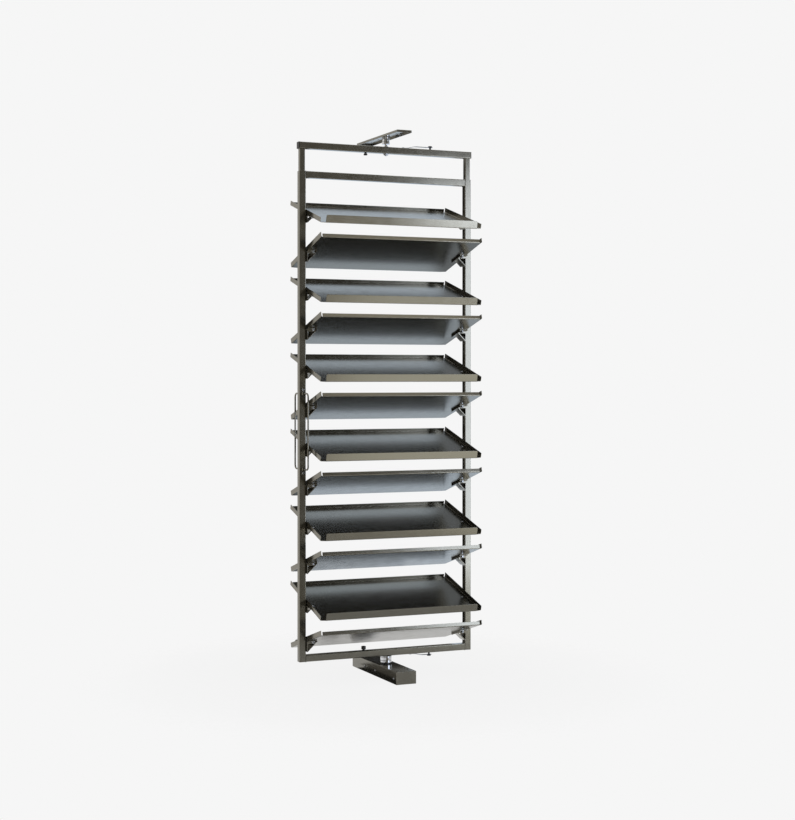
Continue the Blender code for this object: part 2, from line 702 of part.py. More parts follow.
def build_rail_fittings():
    build_leaf("top", TOP_FRAME, TOP_RAIL_TOP, 1, TOP_LEAF_START, TOP_LEAF_LIFT, TOP_PAD_X)
    build_leaf("bottom", RACK, FRAME_BOTTOM, -1, BOTTOM_LEAF_START, BOTTOM_LEAF_LIFT, BOTTOM_PAD_X)
    mesh = buffer_mesh("top_buffer", TOP_BUFFER_RADIUS, TOP_BUFFER_HEIGHT)
    place = (TOP_BUFFER_X, 0, TOP_RAIL_BOTTOM)
    add_part("top_buffer", mesh, BLACK_RUBBER, TOP_FRAME, place, UPSIDE_DOWN)
    mesh = buffer_mesh("bottom_buffer", BOTTOM_BUFFER_RADIUS, BOTTOM_BUFFER_HEIGHT)
    place = (BOTTOM_BUFFER_X, 0, FRAME_BOTTOM + BOTTOM_RAIL_HEIGHT)
    add_part("bottom_buffer", mesh, BLACK_RUBBER, RACK, place)


build_base()
build_lower_frame()
build_hub()
build_trays()
build_handles()
build_upper_frame()
build_top_bearing()
build_top_plate()
build_rail_fittings()
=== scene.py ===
import math

import bmesh
import bpy
from bpy.props import FloatProperty, FloatVectorProperty, IntProperty, PointerProperty
from mathutils import Matrix, Vector


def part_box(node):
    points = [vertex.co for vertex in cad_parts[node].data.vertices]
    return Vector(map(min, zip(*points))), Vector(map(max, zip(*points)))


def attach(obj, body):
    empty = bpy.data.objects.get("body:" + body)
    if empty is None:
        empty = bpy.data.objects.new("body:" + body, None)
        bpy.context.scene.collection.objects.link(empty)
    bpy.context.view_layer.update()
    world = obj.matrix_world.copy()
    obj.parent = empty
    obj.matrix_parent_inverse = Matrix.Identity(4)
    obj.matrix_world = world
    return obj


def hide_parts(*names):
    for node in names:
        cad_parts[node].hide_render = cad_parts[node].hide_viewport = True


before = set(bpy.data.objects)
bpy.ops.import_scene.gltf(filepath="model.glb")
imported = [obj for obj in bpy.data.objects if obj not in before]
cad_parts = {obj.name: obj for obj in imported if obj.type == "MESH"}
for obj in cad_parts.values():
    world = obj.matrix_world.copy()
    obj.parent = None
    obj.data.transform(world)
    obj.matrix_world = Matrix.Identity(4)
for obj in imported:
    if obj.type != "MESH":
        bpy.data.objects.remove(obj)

bl_info = {
    "name": "Rotating shoe rack",
    "version": (1, 0, 0),
    "blender": (4, 5, 0),
    "location": "3D View > Sidebar > Shoe rack",
    "description": "Builds the finished pieces of a rotating shoe rack around its CAD frame",
    "category": "Object",
}

MM = 0.001
GAP = 0.3 * MM
CORNER_STEPS = 8
TURNED_STEPS = 72
SHARP_ANGLE = math.radians(38)
# The finish wears and gets a painted highlight on faces narrower than this; a face of more square metres than
# that is broad sheet
NARROW_FACE = 0.9 * MM
BROAD_FACE = 0.1
SIDES = (("left", -1), ("right", 1))
HANDLES = (("front_handle", -1), ("rear_handle", 1))
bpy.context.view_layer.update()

# Radii of holes and of the pin, the height of its collar, and the plate's holes from its middle
SPINDLE_HOLE = 8.5 * MM
COVER_HOLE = 17.5 * MM
PIN_HOLE = 5.8 * MM
PIN_SHANK = 5.5 * MM
PIN_COLLAR = 3 * MM
PLATE_HOLE = 3.2 * MM
PLATE_HOLES = (53 * MM, 119 * MM)
# Turned profiles start this far from their axis, so that no face closes to a point
AXIS_HOLE = 0.2 * MM

# Thickness of pressings, the handles' lugs, and places of the fasteners
BRACKET_SHEET = 2.5 * MM
BRACKET_FOOT = 3 * MM
LEAF_SHEET = 1.2 * MM
LUG_LENGTH = 29 * MM
LUG_WIDTH = 12 * MM
LUG_SHEET = 2.5 * MM
WIRE_OFFSET = 7 * MM
LUG_SCREW = 8.5 * MM
LEAF_SCREW = 8 * MM
TRAY_BOLT_X = 304 * MM
TRAY_BOLT_Y = 30 * MM
BRACKET_SCREW_DROP = 18 * MM
BASE_SCREW_HEIGHT = 20 * MM
BASE_SCREWS_Y = (108 * MM, 8 * MM, -164 * MM)

# Weld beads: half lengths, and how far their middle stands off the two faces they join
RAIL_WELD = 10.5 * MM
INNER_POST_WELD = 7.5 * MM
WELD_PROUD = 0.4 * MM

# The photograph's frame and the camera fitted to it, in its pixels
IMAGE_WIDTH = 795
IMAGE_HEIGHT = 820
FOCAL_PIXELS = 1601.6
CENTRE_COLUMN = 385.9
HORIZON_ROW = 376.8

# Noise gathers around its middle, so its patches are read between these two values
PATCHES = (0.3, 0.7)

# Studio floor: a disc whose colour fades into the backdrop between two distances from the axis
FLOOR_RADIUS = 1.8
FLOOR_FADE = (0.35, 1.2)
# Point that the lights are turned to, half-way up the rack
AIM = (0, 0, 1.05)


def linear(code):
    """Linear RGBA of an sRGB hex colour."""
    values = [int(code[start:start + 2], 16) / 255 for start in (1, 3, 5)]
    channels = [v / 12.92 if v <= 0.04045 else ((v + 0.055) / 1.055) ** 2.4 for v in values]
    return (*channels, 1.0)


def length(name, description, millimetres):
    return FloatProperty(
        name=name, description=description, default=millimetres * MM, min=0, unit="LENGTH", precision=4
    )


def angle(name, description, degrees):
    return FloatProperty(
        name=name, description=description, default=math.radians(degrees), subtype="ANGLE"
    )


def colour(name, description, code):
    return FloatVectorProperty(
        name=name, description=description, default=linear(code), subtype="COLOR", size=4, min=0, max=1
    )


def factor(name, description, value):
    return FloatProperty(
        name=name, description=description, default=value, min=0, max=1, subtype="FACTOR"
    )


def power(name, description, watts):
    return FloatProperty(name=name, description=description, default=watts, unit="POWER")


class ShoeRackSizes(bpy.types.PropertyGroup):
    """Sizes of the finished pieces"""
    tube_wall: length("Tube wall", "Wall of the square tubes of the lower frame", 2.0)
    inner_wall: length("Inner tube wall", "Wall of the tubes that slide in the posts", 1.2)
    tube_corner: length("Tube corner", "Outer corner radius of the square tubes", 2.5)
    edge_round: length("Edge rounding", "Rounding of cut and stamped edges", 0.45)
    tray_count: IntProperty(name="Trays", description="Number of trays", default=12, min=1)
    tray_pitch: length("Tray pitch", "Height from one tray to the next", 143.1)
    first_tray: length("First tray", "Height of the middle of the highest tray", 1722.8)
    tray_tilt: angle("Tray tilt", "Slope of a tray", 16.2)
    tray_width: length("Tray width", "Width over the side lips", 646)
    tray_depth: length("Tray depth", "Depth over the front and rear lips", 327)
    sheet: length("Sheet", "Thickness of the tray sheet", 1.5)
    bend: length("Bend", "Inner radius of a folded lip", 1.5)
    low_lip: length("Low lip", "Height of the lip that the shoes rest on", 28)
    low_lip_length: length("Low lip length", "Length of the low lip", 606)
    high_lip: length("High lip", "Height of the lip at the raised edge", 12.5)
    high_lip_length: length("High lip length", "Length of the high lip", 631)
    side_lip: length("Side lip", "Height of the lips at the two ends", 17)
    side_lip_low: length("Side lip low end", "Reach of a side lip towards the low edge", 158)
    side_lip_high: length("Side lip high end", "Reach of a side lip towards the high edge", 168)
    handle_wire: length("Handle wire", "Diameter of the handle wire", 6)
    handle_bend: length("Handle bend", "Bend radius of the handle wire", 15)
    screw_head: length("Screw head", "Radius of a pan head", 4.2)
    nut: length("Nut", "Radius over the corners of a nut", 5.8)
    weld: length("Weld bead", "Diameter of a weld bead", 2.6)
    balls: IntProperty(name="Balls", description="Balls in the thrust bearing", default=18, min=3)


class ShoeRackFinishes(bpy.types.PropertyGroup):
    """Colours and gloss of the finishes"""
    graphite: colour("Graphite coat", "Powder coat of tubes, trays and brackets", "#757268")
    # This edge colour is worn coat and also a painted highlight on rounded edges.
    graphite_rubbed_and_highlight: colour("Rubbed and highlighted coat", "Edges where the coat has worn thin, painted lighter as a highlight too", "#928f85")
    graphite_gloss: factor("Coat roughness", "Roughness of the powder coat", 0.17)
    chrome: colour("Chrome", "Plating of hub, pin and bush", "#dcdde0")
    zinc: colour("Zinc", "Plating of screws, nuts and the base plate", "#b6b9bd")
    spring: colour("Spring steel", "Dark steel of leaves and bearing", "#5d5e61")
    rubber: colour("Rubber", "Pads and buffers", "#161617")
    plastic: colour("Plastic", "End caps", "#1a1a1b")


class ShoeRackStage(bpy.types.PropertyGroup):
    """Studio around the rack"""
    backdrop: colour("Backdrop", "Background behind the rack", "#f6f6f6")
    window: colour("Window side", "Cool right side of the backdrop, as the metal shows it", "#e2f0ff")
    wall: colour("Wall side", "Left side of the backdrop, as the metal shows it", "#ebe8e2")
    ground: colour("Ground", "Warm floor in front, as the metal shows it", "#dcd6ca")
    fill: colour("Fill", "Dim front of the studio", "#817d74")
    key_power: power("Key light", "Soft light at the front right", 76)
    top_power: power("Top light", "Soft light overhead", 36)
    low_power: power("Low light", "Bounce off the floor in front", 4.9)
    strip_power: power("Strip light", "Small light high at the front", 4)
    camera_distance: length("Camera distance", "Distance from the pivot axis", 6017)
    camera_height: length("Camera height", "Height of the lens", 1122.4)
    camera_turn: angle("Camera angle", "Angle round the rack, to the left of its front", 23.5)


def add_node(tree, kind, inputs=None, **settings):
    """Add a node; inputs gives each socket a value or the output that feeds it."""
    node = tree.nodes.new(kind)
    for name, value in settings.items():
        setattr(node, name, value)
    for key, value in (inputs or {}).items():
        if isinstance(value, bpy.types.NodeSocket):
            tree.links.new(value, node.inputs[key])
        else:
            node.inputs[key].default_value = value
    return node


def maths(tree, operation, *values):
    return add_node(tree, "ShaderNodeMath", dict(enumerate(values)), operation=operation).outputs[0]


def vector(tree, **parts):
    return add_node(tree, "ShaderNodeCombineXYZ", parts).outputs[0]


def noise(tree, place, size, detail):
    """Noise whose patches are about as wide as the size."""
    return add_node(
        tree, "ShaderNodeTexNoise", {"Vector": place, "Scale": 1 / size, "Detail": detail}
    ).outputs["Fac"]


def spread(tree, value, source, target=(0.0, 1.0), **settings):
    """Value moved from a source range to a target range."""
    return add_node(tree, "ShaderNodeMapRange", {
        "Value": value, "From Min": source[0], "From Max": source[1],
        "To Min": target[0], "To Max": target[1],
    }, **settings).outputs["Result"]


def mix(tree, share, first, second, **settings):
    """Colour mixed from two."""
    return add_node(
        tree, "ShaderNodeMix", {0: share, 6: first, 7: second}, data_type="RGBA", **settings
    ).outputs[2]


def bump(tree, height, strength, depth, **more):
    inputs = {"Strength": strength, "Distance": depth, "Height": height, **more}
    return add_node(tree, "ShaderNodeBump", inputs).outputs["Normal"]


def face_mark(tree, name):
    return add_node(tree, "ShaderNodeAttribute", attribute_name=name).outputs["Fac"]


def new_material(name, base, metallic, roughness):
    """Material with its shader's even values set, and its Object coordinates."""
    material = bpy.data.materials.new(name)
    material.use_nodes = True
    tree = material.node_tree
    shader = tree.nodes["Principled BSDF"]
    shader.inputs["Base Color"].default_value = base
    shader.inputs["Metallic"].default_value = metallic
    shader.inputs["Roughness"].default_value = roughness
    place = add_node(tree, "ShaderNodeTexCoord").outputs["Object"]
    return material, tree, shader, place


def feed(tree, shader, rough, normal, base=None):
    """Link a shader's varying values."""
    if base is not None:
        tree.links.new(base, shader.inputs["Base Color"])
    tree.links.new(rough, shader.inputs["Roughness"])
    tree.links.new(normal, shader.inputs["Normal"])


def graphite_powder_coat(looks):
    """Satin metallic powder coat on steel: blurred reflections, faint orange peel, edges lighter, partly worn
    and partly a painted highlight.
    """
    gloss = looks.graphite_gloss
    material, tree, shader, place = new_material("graphite_powder_coat", looks.graphite, 0.9, gloss)
    # Orange peel is about 1 mm wide; it is drawn at 2.5 mm so that a close view shows it.
    peel = noise(tree, place, 2.5 * MM, 2.0)
    # Thin sheet is never quite flat: slow waves about 120 mm long bend the reflections a little.
    waves = noise(tree, place, 120 * MM, 1.0)
    # The film is a little uneven in patches about 35 mm wide.
    film = noise(tree, place, 35 * MM, 4.0)
    waved = bump(tree, waves, 0.25, 0.15 * MM)
    normal = bump(tree, peel, 0.12, 0.015 * MM, Normal=waved)
    rough = spread(tree, film, PATCHES, (gloss - 0.02, gloss + 0.03))
    # The spray dries a little rougher in the middle of a broad sheet than on tube and pressings.
    dry = maths(tree, "MULTIPLY_ADD", face_mark(tree, "broad_sheet"), 0.07, rough)
    shade = spread(tree, film, PATCHES, (0.96, 1.03))
    coat = mix(tree, 1.0, looks.graphite, shade, blend_type="MULTIPLY")
    # Worn spots and the painted highlight come and go along an edge every 12 mm or so.
    edge_patches = spread(tree, noise(tree, place, 12 * MM, 5.0), (0.4, 0.65), (0.1, 0.55))
    wear_and_highlight = maths(tree, "MULTIPLY", face_mark(tree, "edge_wear"), edge_patches)
    feed(tree, shader, dry, normal, mix(tree, wear_and_highlight, coat, looks.graphite_rubbed_and_highlight))
    shader.inputs["Coat Weight"].default_value = 0.15
    shader.inputs["Coat Roughness"].default_value = 0.18
    return material


def chrome_plate(looks):
    """Bright chrome on a turned part: sharp reflections, fine turning rings and faint smears."""
    material, tree, shader, place = new_material("chrome_plate", looks.chrome, 1.0, 0.08)
    # Turning rings run round the axis, about 0.4 mm apart; drawn at 0.8 mm so that they show.
    height = add_node(tree, "ShaderNodeMapping", {"Vector": place, "Scale": (4.0, 4.0, 1 / (0.8 * MM))})
    rings = noise(tree, height.outputs["Vector"], 1.0, 2.0)
    # Smears from handling, about 9 mm across
    rough = spread(tree, noise(tree, place, 9 * MM, 3.0), (0.4, 0.75), (0.06, 0.16))
    feed(tree, shader, rough, bump(tree, rings, 0.12, 0.02 * MM))
    return material


def zinc_plated_steel(looks):
    """Bright zinc plate: silvery, a little milky, with cloudy patches."""
    material, tree, shader, place = new_material("zinc_plated_steel", looks.zinc, 1.0, 0.3)
    # Clouds in the passivation are 5 to 10 mm wide.
    cloud = noise(tree, place, 7 * MM, 5.0)
    plate = mix(tree, 1.0, looks.zinc, spread(tree, cloud, PATCHES, (0.82, 1.0)), blend_type="MULTIPLY")
    # The plating's own grain is about 0.6 mm wide.
    grain = noise(tree, place, 0.6 * MM, 2.0)
    feed(tree, shader, spread(tree, cloud, PATCHES, (0.22, 0.38)), bump(tree, grain, 0.15, 0.02 * MM), plate)
    return material


def spring_steel(looks):
    """Hardened dark steel strip: grey with a blue-brown temper tint, and rolling lines along its length."""
    material, tree, shader, place = new_material("spring_steel", looks.spring, 1.0, 0.3)
    # Rolling lines are finer than 0.3 mm; drawn at 0.9 mm, long in X.
    fine = 1 / (0.9 * MM)
    along = add_node(tree, "ShaderNodeMapping", {"Vector": place, "Scale": (12.0, fine, fine)})
    lines = noise(tree, along.outputs["Vector"], 1.0, 3.0)
    # The temper tint drifts over about 20 mm.
    tint = mix(tree, noise(tree, place, 20 * MM, 2.0), looks.spring, linear("#4e5158"))
    feed(tree, shader, spread(tree, lines, PATCHES, (0.24, 0.38)), bump(tree, lines, 0.2, 0.02 * MM), tint)
    return material


def black_moulding(name, base, roughness, grain_size, grain_depth):
    """Black moulded part: a fine even grain, and dull patches where it has been touched."""
    material, tree, shader, place = new_material(name, base, 0.0, roughness)
    grain = noise(tree, place, grain_size, 3.0)
    # Dull patches are about 8 mm wide.
    dull = noise(tree, place, 8 * MM, 3.0)
    rough = spread(tree, dull, PATCHES, (roughness - 0.06, roughness + 0.1))
    scuff = maths(tree, "MULTIPLY", face_mark(tree, "edge_wear"), dull)
    scuffed = mix(tree, scuff, base, linear("#3a3a3a"))
    feed(tree, shader, rough, bump(tree, grain, 0.3, grain_depth), scuffed)
    return material


def black_rubber(looks):
    """Moulded rubber: deep black, matt, with a fine grain about 0.5 mm wide."""
    return black_moulding("black_rubber", looks.rubber, 0.6, 0.5 * MM, 0.03 * MM)


def black_plastic(looks):
    """Moulded polyethylene: black, half gloss, with a spark-eroded grain about 0.4 mm wide."""
    return black_moulding("black_plastic", looks.plastic, 0.42, 0.4 * MM, 0.02 * MM)


FINISHES = (graphite_powder_coat, chrome_plate, zinc_plated_steel, spring_steel, black_rubber, black_plastic)


def finish_named(slot):
    """Material of a slot, made the first time it is asked for."""
    made = bpy.data.materials.get("finish_" + slot)
    if made is None:
        maker = next(finish for finish in FINISHES if finish.__name__ == slot)
        made = maker(bpy.context.scene.shoe_rack_finishes)
        made.name = "finish_" + slot
    return made


def new_piece(name, mesh):
    piece = bpy.data.objects.new(name, mesh)
    bpy.context.scene.collection.objects.link(piece)
    return piece


def flatten(piece):
    """Turn a piece and its modifiers into a plain mesh."""
    graph = bpy.context.evaluated_depsgraph_get()
    mesh = bpy.data.meshes.new_from_object(piece.evaluated_get(graph))
    piece.modifiers.clear()
    piece.data = mesh
    return mesh


def mark_faces(mesh):
    """Mark the narrow faces along edges, where the finish wears and the coat gets a painted highlight, and
    the broad ones of sheet.
    """
    for name in ("edge_wear", "broad_sheet"):
        mesh.attributes.new(name, "FLOAT", "FACE")
    narrow = mesh.attributes["edge_wear"].data
    broad = mesh.attributes["broad_sheet"].data
    for face in mesh.polygons:
        corners = [mesh.vertices[index].co for index in face.vertices]
        around = sum((end - start).length for start, end in zip(corners, corners[1:] + corners[:1]))
        narrow[face.index].value = 1.0 if 2 * face.area < NARROW_FACE * around else 0.0
        broad[face.index].value = 1.0 if face.area > BROAD_FACE else 0.0


def settle(piece, body, slot, nodes=()):
    """Finish a piece: plain mesh, smooth shading, material, body, slot and the nodes it stands for."""
    mesh = flatten(piece)
    mark_faces(mesh)
    mesh.shade_smooth()
    mesh.set_sharp_from_angle(angle=SHARP_ANGLE)
    even = piece.modifiers.new("flat_faces", "WEIGHTED_NORMAL")
    even.keep_sharp = True
    mesh = flatten(piece)
    mesh.name = piece.name
    mesh.materials.clear()
    mesh.materials.append(finish_named(slot))
    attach(piece, body)
    if nodes:
        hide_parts(*nodes)
    return piece


def round_edges(piece, width, limit=40):
    bevel = piece.modifiers.new("rounded_edges", "BEVEL")
    bevel.width = width
    bevel.segments = 2
    bevel.limit_method = "ANGLE"
    bevel.angle_limit = math.radians(limit)


def mesh_of(work, name):
    """New mesh of a bmesh, which is freed."""
    mesh = bpy.data.meshes.new(name)
    work.to_mesh(mesh)
    work.free()
    return mesh


def join_meshes(name, meshes):
    work = bmesh.new()
    for mesh in meshes:
        work.from_mesh(mesh)
    return mesh_of(work, name)


def node_copy(node):
    """Merged copy of a CAD node's mesh, with its flat faces joined."""
    work = bmesh.new()
    work.from_mesh(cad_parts[node].data)
    bmesh.ops.remove_doubles(work, verts=work.verts, dist=0.01 * MM)
    bmesh.ops.dissolve_limit(work, angle_limit=math.radians(1), verts=work.verts, edges=work.edges)
    return mesh_of(work, node + "_copy")


def bridge(name, rings, closed=False):
    """Mesh through rings of equal count; the ends of an open run are capped."""
    count = len(rings[0])
    points = [point for ring in rings for point in ring]
    faces = []
    for row in range(len(rings) if closed else len(rings) - 1):
        here = row * count
        there = (row + 1) % len(rings) * count
        for index in range(count):
            after = (index + 1) % count
            faces.append((here + index, here + after, there + after, there + index))
    if not closed:
        faces.append(tuple(range(count)))
        faces.append(tuple(range(len(points) - count, len(points))))
    work = bmesh.new()
    corners = [work.verts.new(point) for point in points]
    for face in faces:
        work.faces.new([corners[index] for index in face])
    bmesh.ops.recalc_face_normals(work, faces=work.faces)
    return mesh_of(work, name)


def rounded_rectangle(width, height, radius):
    points = []
    for quarter, (sign_x, sign_y) in enumerate(((1, 1), (-1, 1), (-1, -1), (1, -1))):
        for step in range(CORNER_STEPS + 1):
            turn = math.radians(90 * (quarter + step / CORNER_STEPS))
            x = sign_x * (width / 2 - radius) + radius * math.cos(turn)
            y = sign_y * (height / 2 - radius) + radius * math.sin(turn)
            points.append((x, y))
    return points


def loft(name, sections, place, closed=False):
    """Mesh through rounded rectangles, each given as width, height, corner radius and level."""
    rings = []
    for width, height, radius, level in sections:
        outline = rounded_rectangle(width, height, radius)
        rings.append([place @ Vector((x, y, level)) for x, y in outline])
    return bridge(name, rings, closed)


def pan(node, wall, corner, rim, fold):
    """Open pan in a node's box, mouth down: up its inside, round its rim and up to a rounded fold."""
    low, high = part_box(node)
    size = high - low
    steps = [(wall, size.z - wall), (wall, rim), (wall - rim, 0), (rim, 0), (0, rim)]
    for step in range(CORNER_STEPS + 1):
        turn = math.radians(90 * step / CORNER_STEPS)
        steps.append((fold * (1 - math.cos(turn)), size.z - fold + fold * math.sin(turn)))
    sections = [(size.x - 2 * inset, size.y - 2 * inset, corner - inset, level) for inset, level in steps]
    middle = (low + high) / 2
    return loft(node, sections, Matrix.Translation((middle.x, middle.y, low.z)))


def soften(points, radius, steps=4):
    """Round the corners of a profile, except its two ends."""
    softened = [points[0]]
    for before, corner, after in zip(points, points[1:], points[2:]):
        corner = Vector(corner)
        back = Vector(before) - corner
        ahead = Vector(after) - corner
        reach = min(radius, back.length * 0.45, ahead.length * 0.45)
        start = corner + reach * back.normalized()
        end = corner + reach * ahead.normalized()
        for step in range(steps + 1):
            share = step / steps
            softened.append(tuple(start.lerp(corner, share).lerp(corner.lerp(end, share), share)))
    softened.append(points[-1])
    return softened


def circle(radius, height, centre=(0, 0)):
    """Points of a level ring."""
    ring = []
    for step in range(TURNED_STEPS):
        turn = 2 * math.pi * step / TURNED_STEPS
        ring.append((centre[0] + radius * math.cos(turn), centre[1] + radius * math.sin(turn), height))
    return ring


def turned(name, profile, centre=(0, 0), closed=False):
    """Mesh turned about an upright axis from a profile of radius and height."""
    return bridge(name, [circle(radius, height, centre) for radius, height in profile], closed)


def bore(piece, places, radius, depth):
    """Cut upright round holes; the cutter is removed once the piece is a plain mesh."""
    work = bmesh.new()
    for place in places:
        bmesh.ops.create_cone(
            work, cap_ends=True, segments=48, radius1=radius, radius2=radius, depth=depth,
            matrix=Matrix.Translation(place),
        )
    mesh = mesh_of(work, piece.name + "_bore")
    cutter = new_piece(mesh.name, mesh)
    hole = piece.modifiers.new("bore", "BOOLEAN")
    hole.operation = "DIFFERENCE"
    hole.object = cutter
    flatten(piece)
    bpy.data.objects.remove(cutter)


def new_tree(name, **inputs):
    """Empty Geometry Nodes tree with named inputs, each given as its socket type."""
    tree = bpy.data.node_groups.new(name, "GeometryNodeTree")
    tree.interface.new_socket("Geometry", in_out="OUTPUT", socket_type="NodeSocketGeometry")
    tree.interface.new_socket("Geometry", in_out="INPUT", socket_type="NodeSocketGeometry")
    for label, kind in inputs.items():
        tree.interface.new_socket(label, in_out="INPUT", socket_type="NodeSocket" + kind)
    tree.interface.new_socket("Material", in_out="INPUT", socket_type="NodeSocketMaterial")
    entry = add_node(tree, "NodeGroupInput")
    return tree, entry.outputs


def close_tree(tree, entry, geometry):
    """Last nodes of every tree: real meshes with their material."""
    real = add_node(tree, "GeometryNodeRealizeInstances", {"Geometry": geometry})
    dressed = add_node(tree, "GeometryNodeSetMaterial", {
        "Geometry": real.outputs["Geometry"], "Material": entry["Material"],
    })
    add_node(tree, "NodeGroupOutput", {"Geometry": dressed.outputs["Geometry"]})
    return tree


def grow(name, tree, mesh, slot, **values):
    """New piece made by a tree from a mesh of points or edges."""
    piece = new_piece(name, mesh)
    values["Material"] = finish_named(slot)
    modifier = piece.modifiers.new(name, "NODES")
    modifier.node_group = tree
    for item in tree.interface.items_tree:
        if item.in_out == "INPUT" and item.name in values:
            modifier[item.identifier] = values[item.name]
    flatten(piece)
    return piece


def moved(tree, geometry, **inputs):
    return add_node(tree, "GeometryNodeTransform", {"Geometry": geometry, **inputs}).outputs["Geometry"]


def tray_by_number_tree():
    """Places one tray in the stack by its number: trays go down by the pitch and turn about by turns."""
    tree, entry = new_tree(
        "tray_by_number", Tray="Object", Number="Int", Pitch="Float", First="Float", Tilt="Float"
    )
    sheet = add_node(tree, "GeometryNodeObjectInfo", {"Object": entry["Tray"]})
    drop = maths(tree, "MULTIPLY", entry["Number"], entry["Pitch"])
    height = maths(tree, "SUBTRACT", entry["First"], drop)
    odd = maths(tree, "MODULO", entry["Number"], 2.0)
    turn = maths(tree, "MULTIPLY", odd, math.pi)
    euler = vector(tree, X=entry["Tilt"], Z=turn)
    rotation = add_node(tree, "FunctionNodeEulerToRotation", {"Euler": euler}).outputs[0]
    placed = moved(tree, sheet.outputs["Geometry"], Translation=vector(tree, Z=height), Rotation=rotation)
    return close_tree(tree, entry, placed)


def instance_on_facing(tree, entry, shape):
    """Sets a shape on each point, with its Z along the point's facing."""
    facing = add_node(tree, "GeometryNodeInputNamedAttribute", {"Name": "facing"}, data_type="FLOAT_VECTOR")
    aligned = add_node(
        tree, "FunctionNodeAlignRotationToVector", {"Vector": facing.outputs["Attribute"]}, axis="Z"
    )
    placed = add_node(tree, "GeometryNodeInstanceOnPoints", {
        "Points": entry["Geometry"], "Instance": shape, "Rotation": aligned.outputs["Rotation"],
    })
    return close_tree(tree, entry, placed.outputs["Instances"])


def raised_cylinder(tree, radius, height, start, vertices, side_segments=1):
    """Cylinder that stands on a level above the point."""
    body = add_node(tree, "GeometryNodeMeshCylinder", {
        "Vertices": vertices, "Side Segments": side_segments, "Radius": radius, "Depth": height,
    })
    half = maths(tree, "MULTIPLY_ADD", height, 0.5, start)
    return moved(tree, body.outputs["Mesh"], Translation=vector(tree, Z=half))


def narrowed(tree, mesh, height, start, share, exponent):
    """Pulls a cylinder in towards its top: the radius falls by a share with a power of the height."""
    position = add_node(tree, "GeometryNodeInputPosition").outputs[0]
    split = add_node(tree, "ShaderNodeSeparateXYZ", {0: position})
    level = maths(tree, "SUBTRACT", split.outputs["Z"], start)
    bent = maths(tree, "POWER", maths(tree, "DIVIDE", level, height), exponent)
    scale = maths(tree, "MULTIPLY_ADD", bent, -share, 1.0)
    factors = vector(tree, X=scale, Y=scale, Z=1.0)
    pulled = add_node(tree, "ShaderNodeVectorMath", {0: position, 1: factors}, operation="MULTIPLY")
    return add_node(tree, "GeometryNodeSetPosition", {
        "Geometry": mesh, "Position": pulled.outputs[0],
    }).outputs["Geometry"]


def joined(tree, *shapes):
    whole = add_node(tree, "GeometryNodeJoinGeometry")
    for shape in shapes:
        tree.links.new(shape, whole.inputs["Geometry"])
    return whole.outputs["Geometry"]


def pan_head_screw_tree():
    """Pan head with a cross recess, on a washer."""
    tree, entry = new_tree(
        "pan_head_screw", Head="Float", Height="Float", Slot="Float", Washer="Float", Rim="Float"
    )
    washer = raised_cylinder(tree, entry["Washer"], entry["Rim"], 0.0, 32)
    blank = raised_cylinder(tree, entry["Head"], entry["Height"], entry["Rim"], 32, 5)
    head = narrowed(tree, blank, entry["Height"], entry["Rim"], 0.7, 2.2)
    lift = vector(tree, Z=maths(tree, "ADD", entry["Height"], entry["Rim"]))
    reach = maths(tree, "MULTIPLY", entry["Head"], 0.95)
    cut = add_node(tree, "GeometryNodeMeshBoolean", {"Mesh 1": head}, operation="DIFFERENCE", solver="EXACT")
    for across, other in (("X", "Y"), ("Y", "X")):
        size = vector(tree, **{across: reach, other: entry["Slot"], "Z": entry["Height"]})
        bar = add_node(tree, "GeometryNodeMeshCube", {"Size": size})
        tree.links.new(moved(tree, bar.outputs["Mesh"], Translation=lift), cut.inputs["Mesh 2"])
    return instance_on_facing(tree, entry, joined(tree, washer, cut.outputs["Mesh"]))


def hex_nut_tree():
    """Hexagon nut with rounded corners on a washer, and the end of its bolt."""
    tree, entry = new_tree(
        "hex_nut", Corner="Float", Height="Float", Bolt="Float", Stub="Float", Washer="Float", Rim="Float"
    )
    washer = raised_cylinder(tree, entry["Washer"], entry["Rim"], 0.0, 32)
    # The hexagon stands past both ends of the dome and inside its foot, so that no faces coincide.
    tall = maths(tree, "MULTIPLY", entry["Height"], 1.5)
    sunk = maths(tree, "MULTIPLY_ADD", entry["Height"], -0.25, entry["Rim"])
    wide = maths(tree, "MULTIPLY", entry["Corner"], 1.02)
    hexagon = raised_cylinder(tree, entry["Corner"], tall, sunk, 6)
    blank = raised_cylinder(tree, wide, entry["Height"], entry["Rim"], 36, 6)
    dome = narrowed(tree, blank, entry["Height"], entry["Rim"], 0.157, 5.0)
    nut = add_node(
        tree, "GeometryNodeMeshBoolean", {"Mesh 2": hexagon}, operation="INTERSECT", solver="EXACT"
    )
    tree.links.new(dome, nut.inputs["Mesh 2"])
    seat = maths(tree, "ADD", entry["Height"], entry["Rim"])
    stub = raised_cylinder(tree, entry["Bolt"], entry["Stub"], seat, 24, 3)
    tip = narrowed(tree, stub, entry["Stub"], seat, 0.2, 4.0)
    return instance_on_facing(tree, entry, joined(tree, washer, nut.outputs["Mesh"], tip))


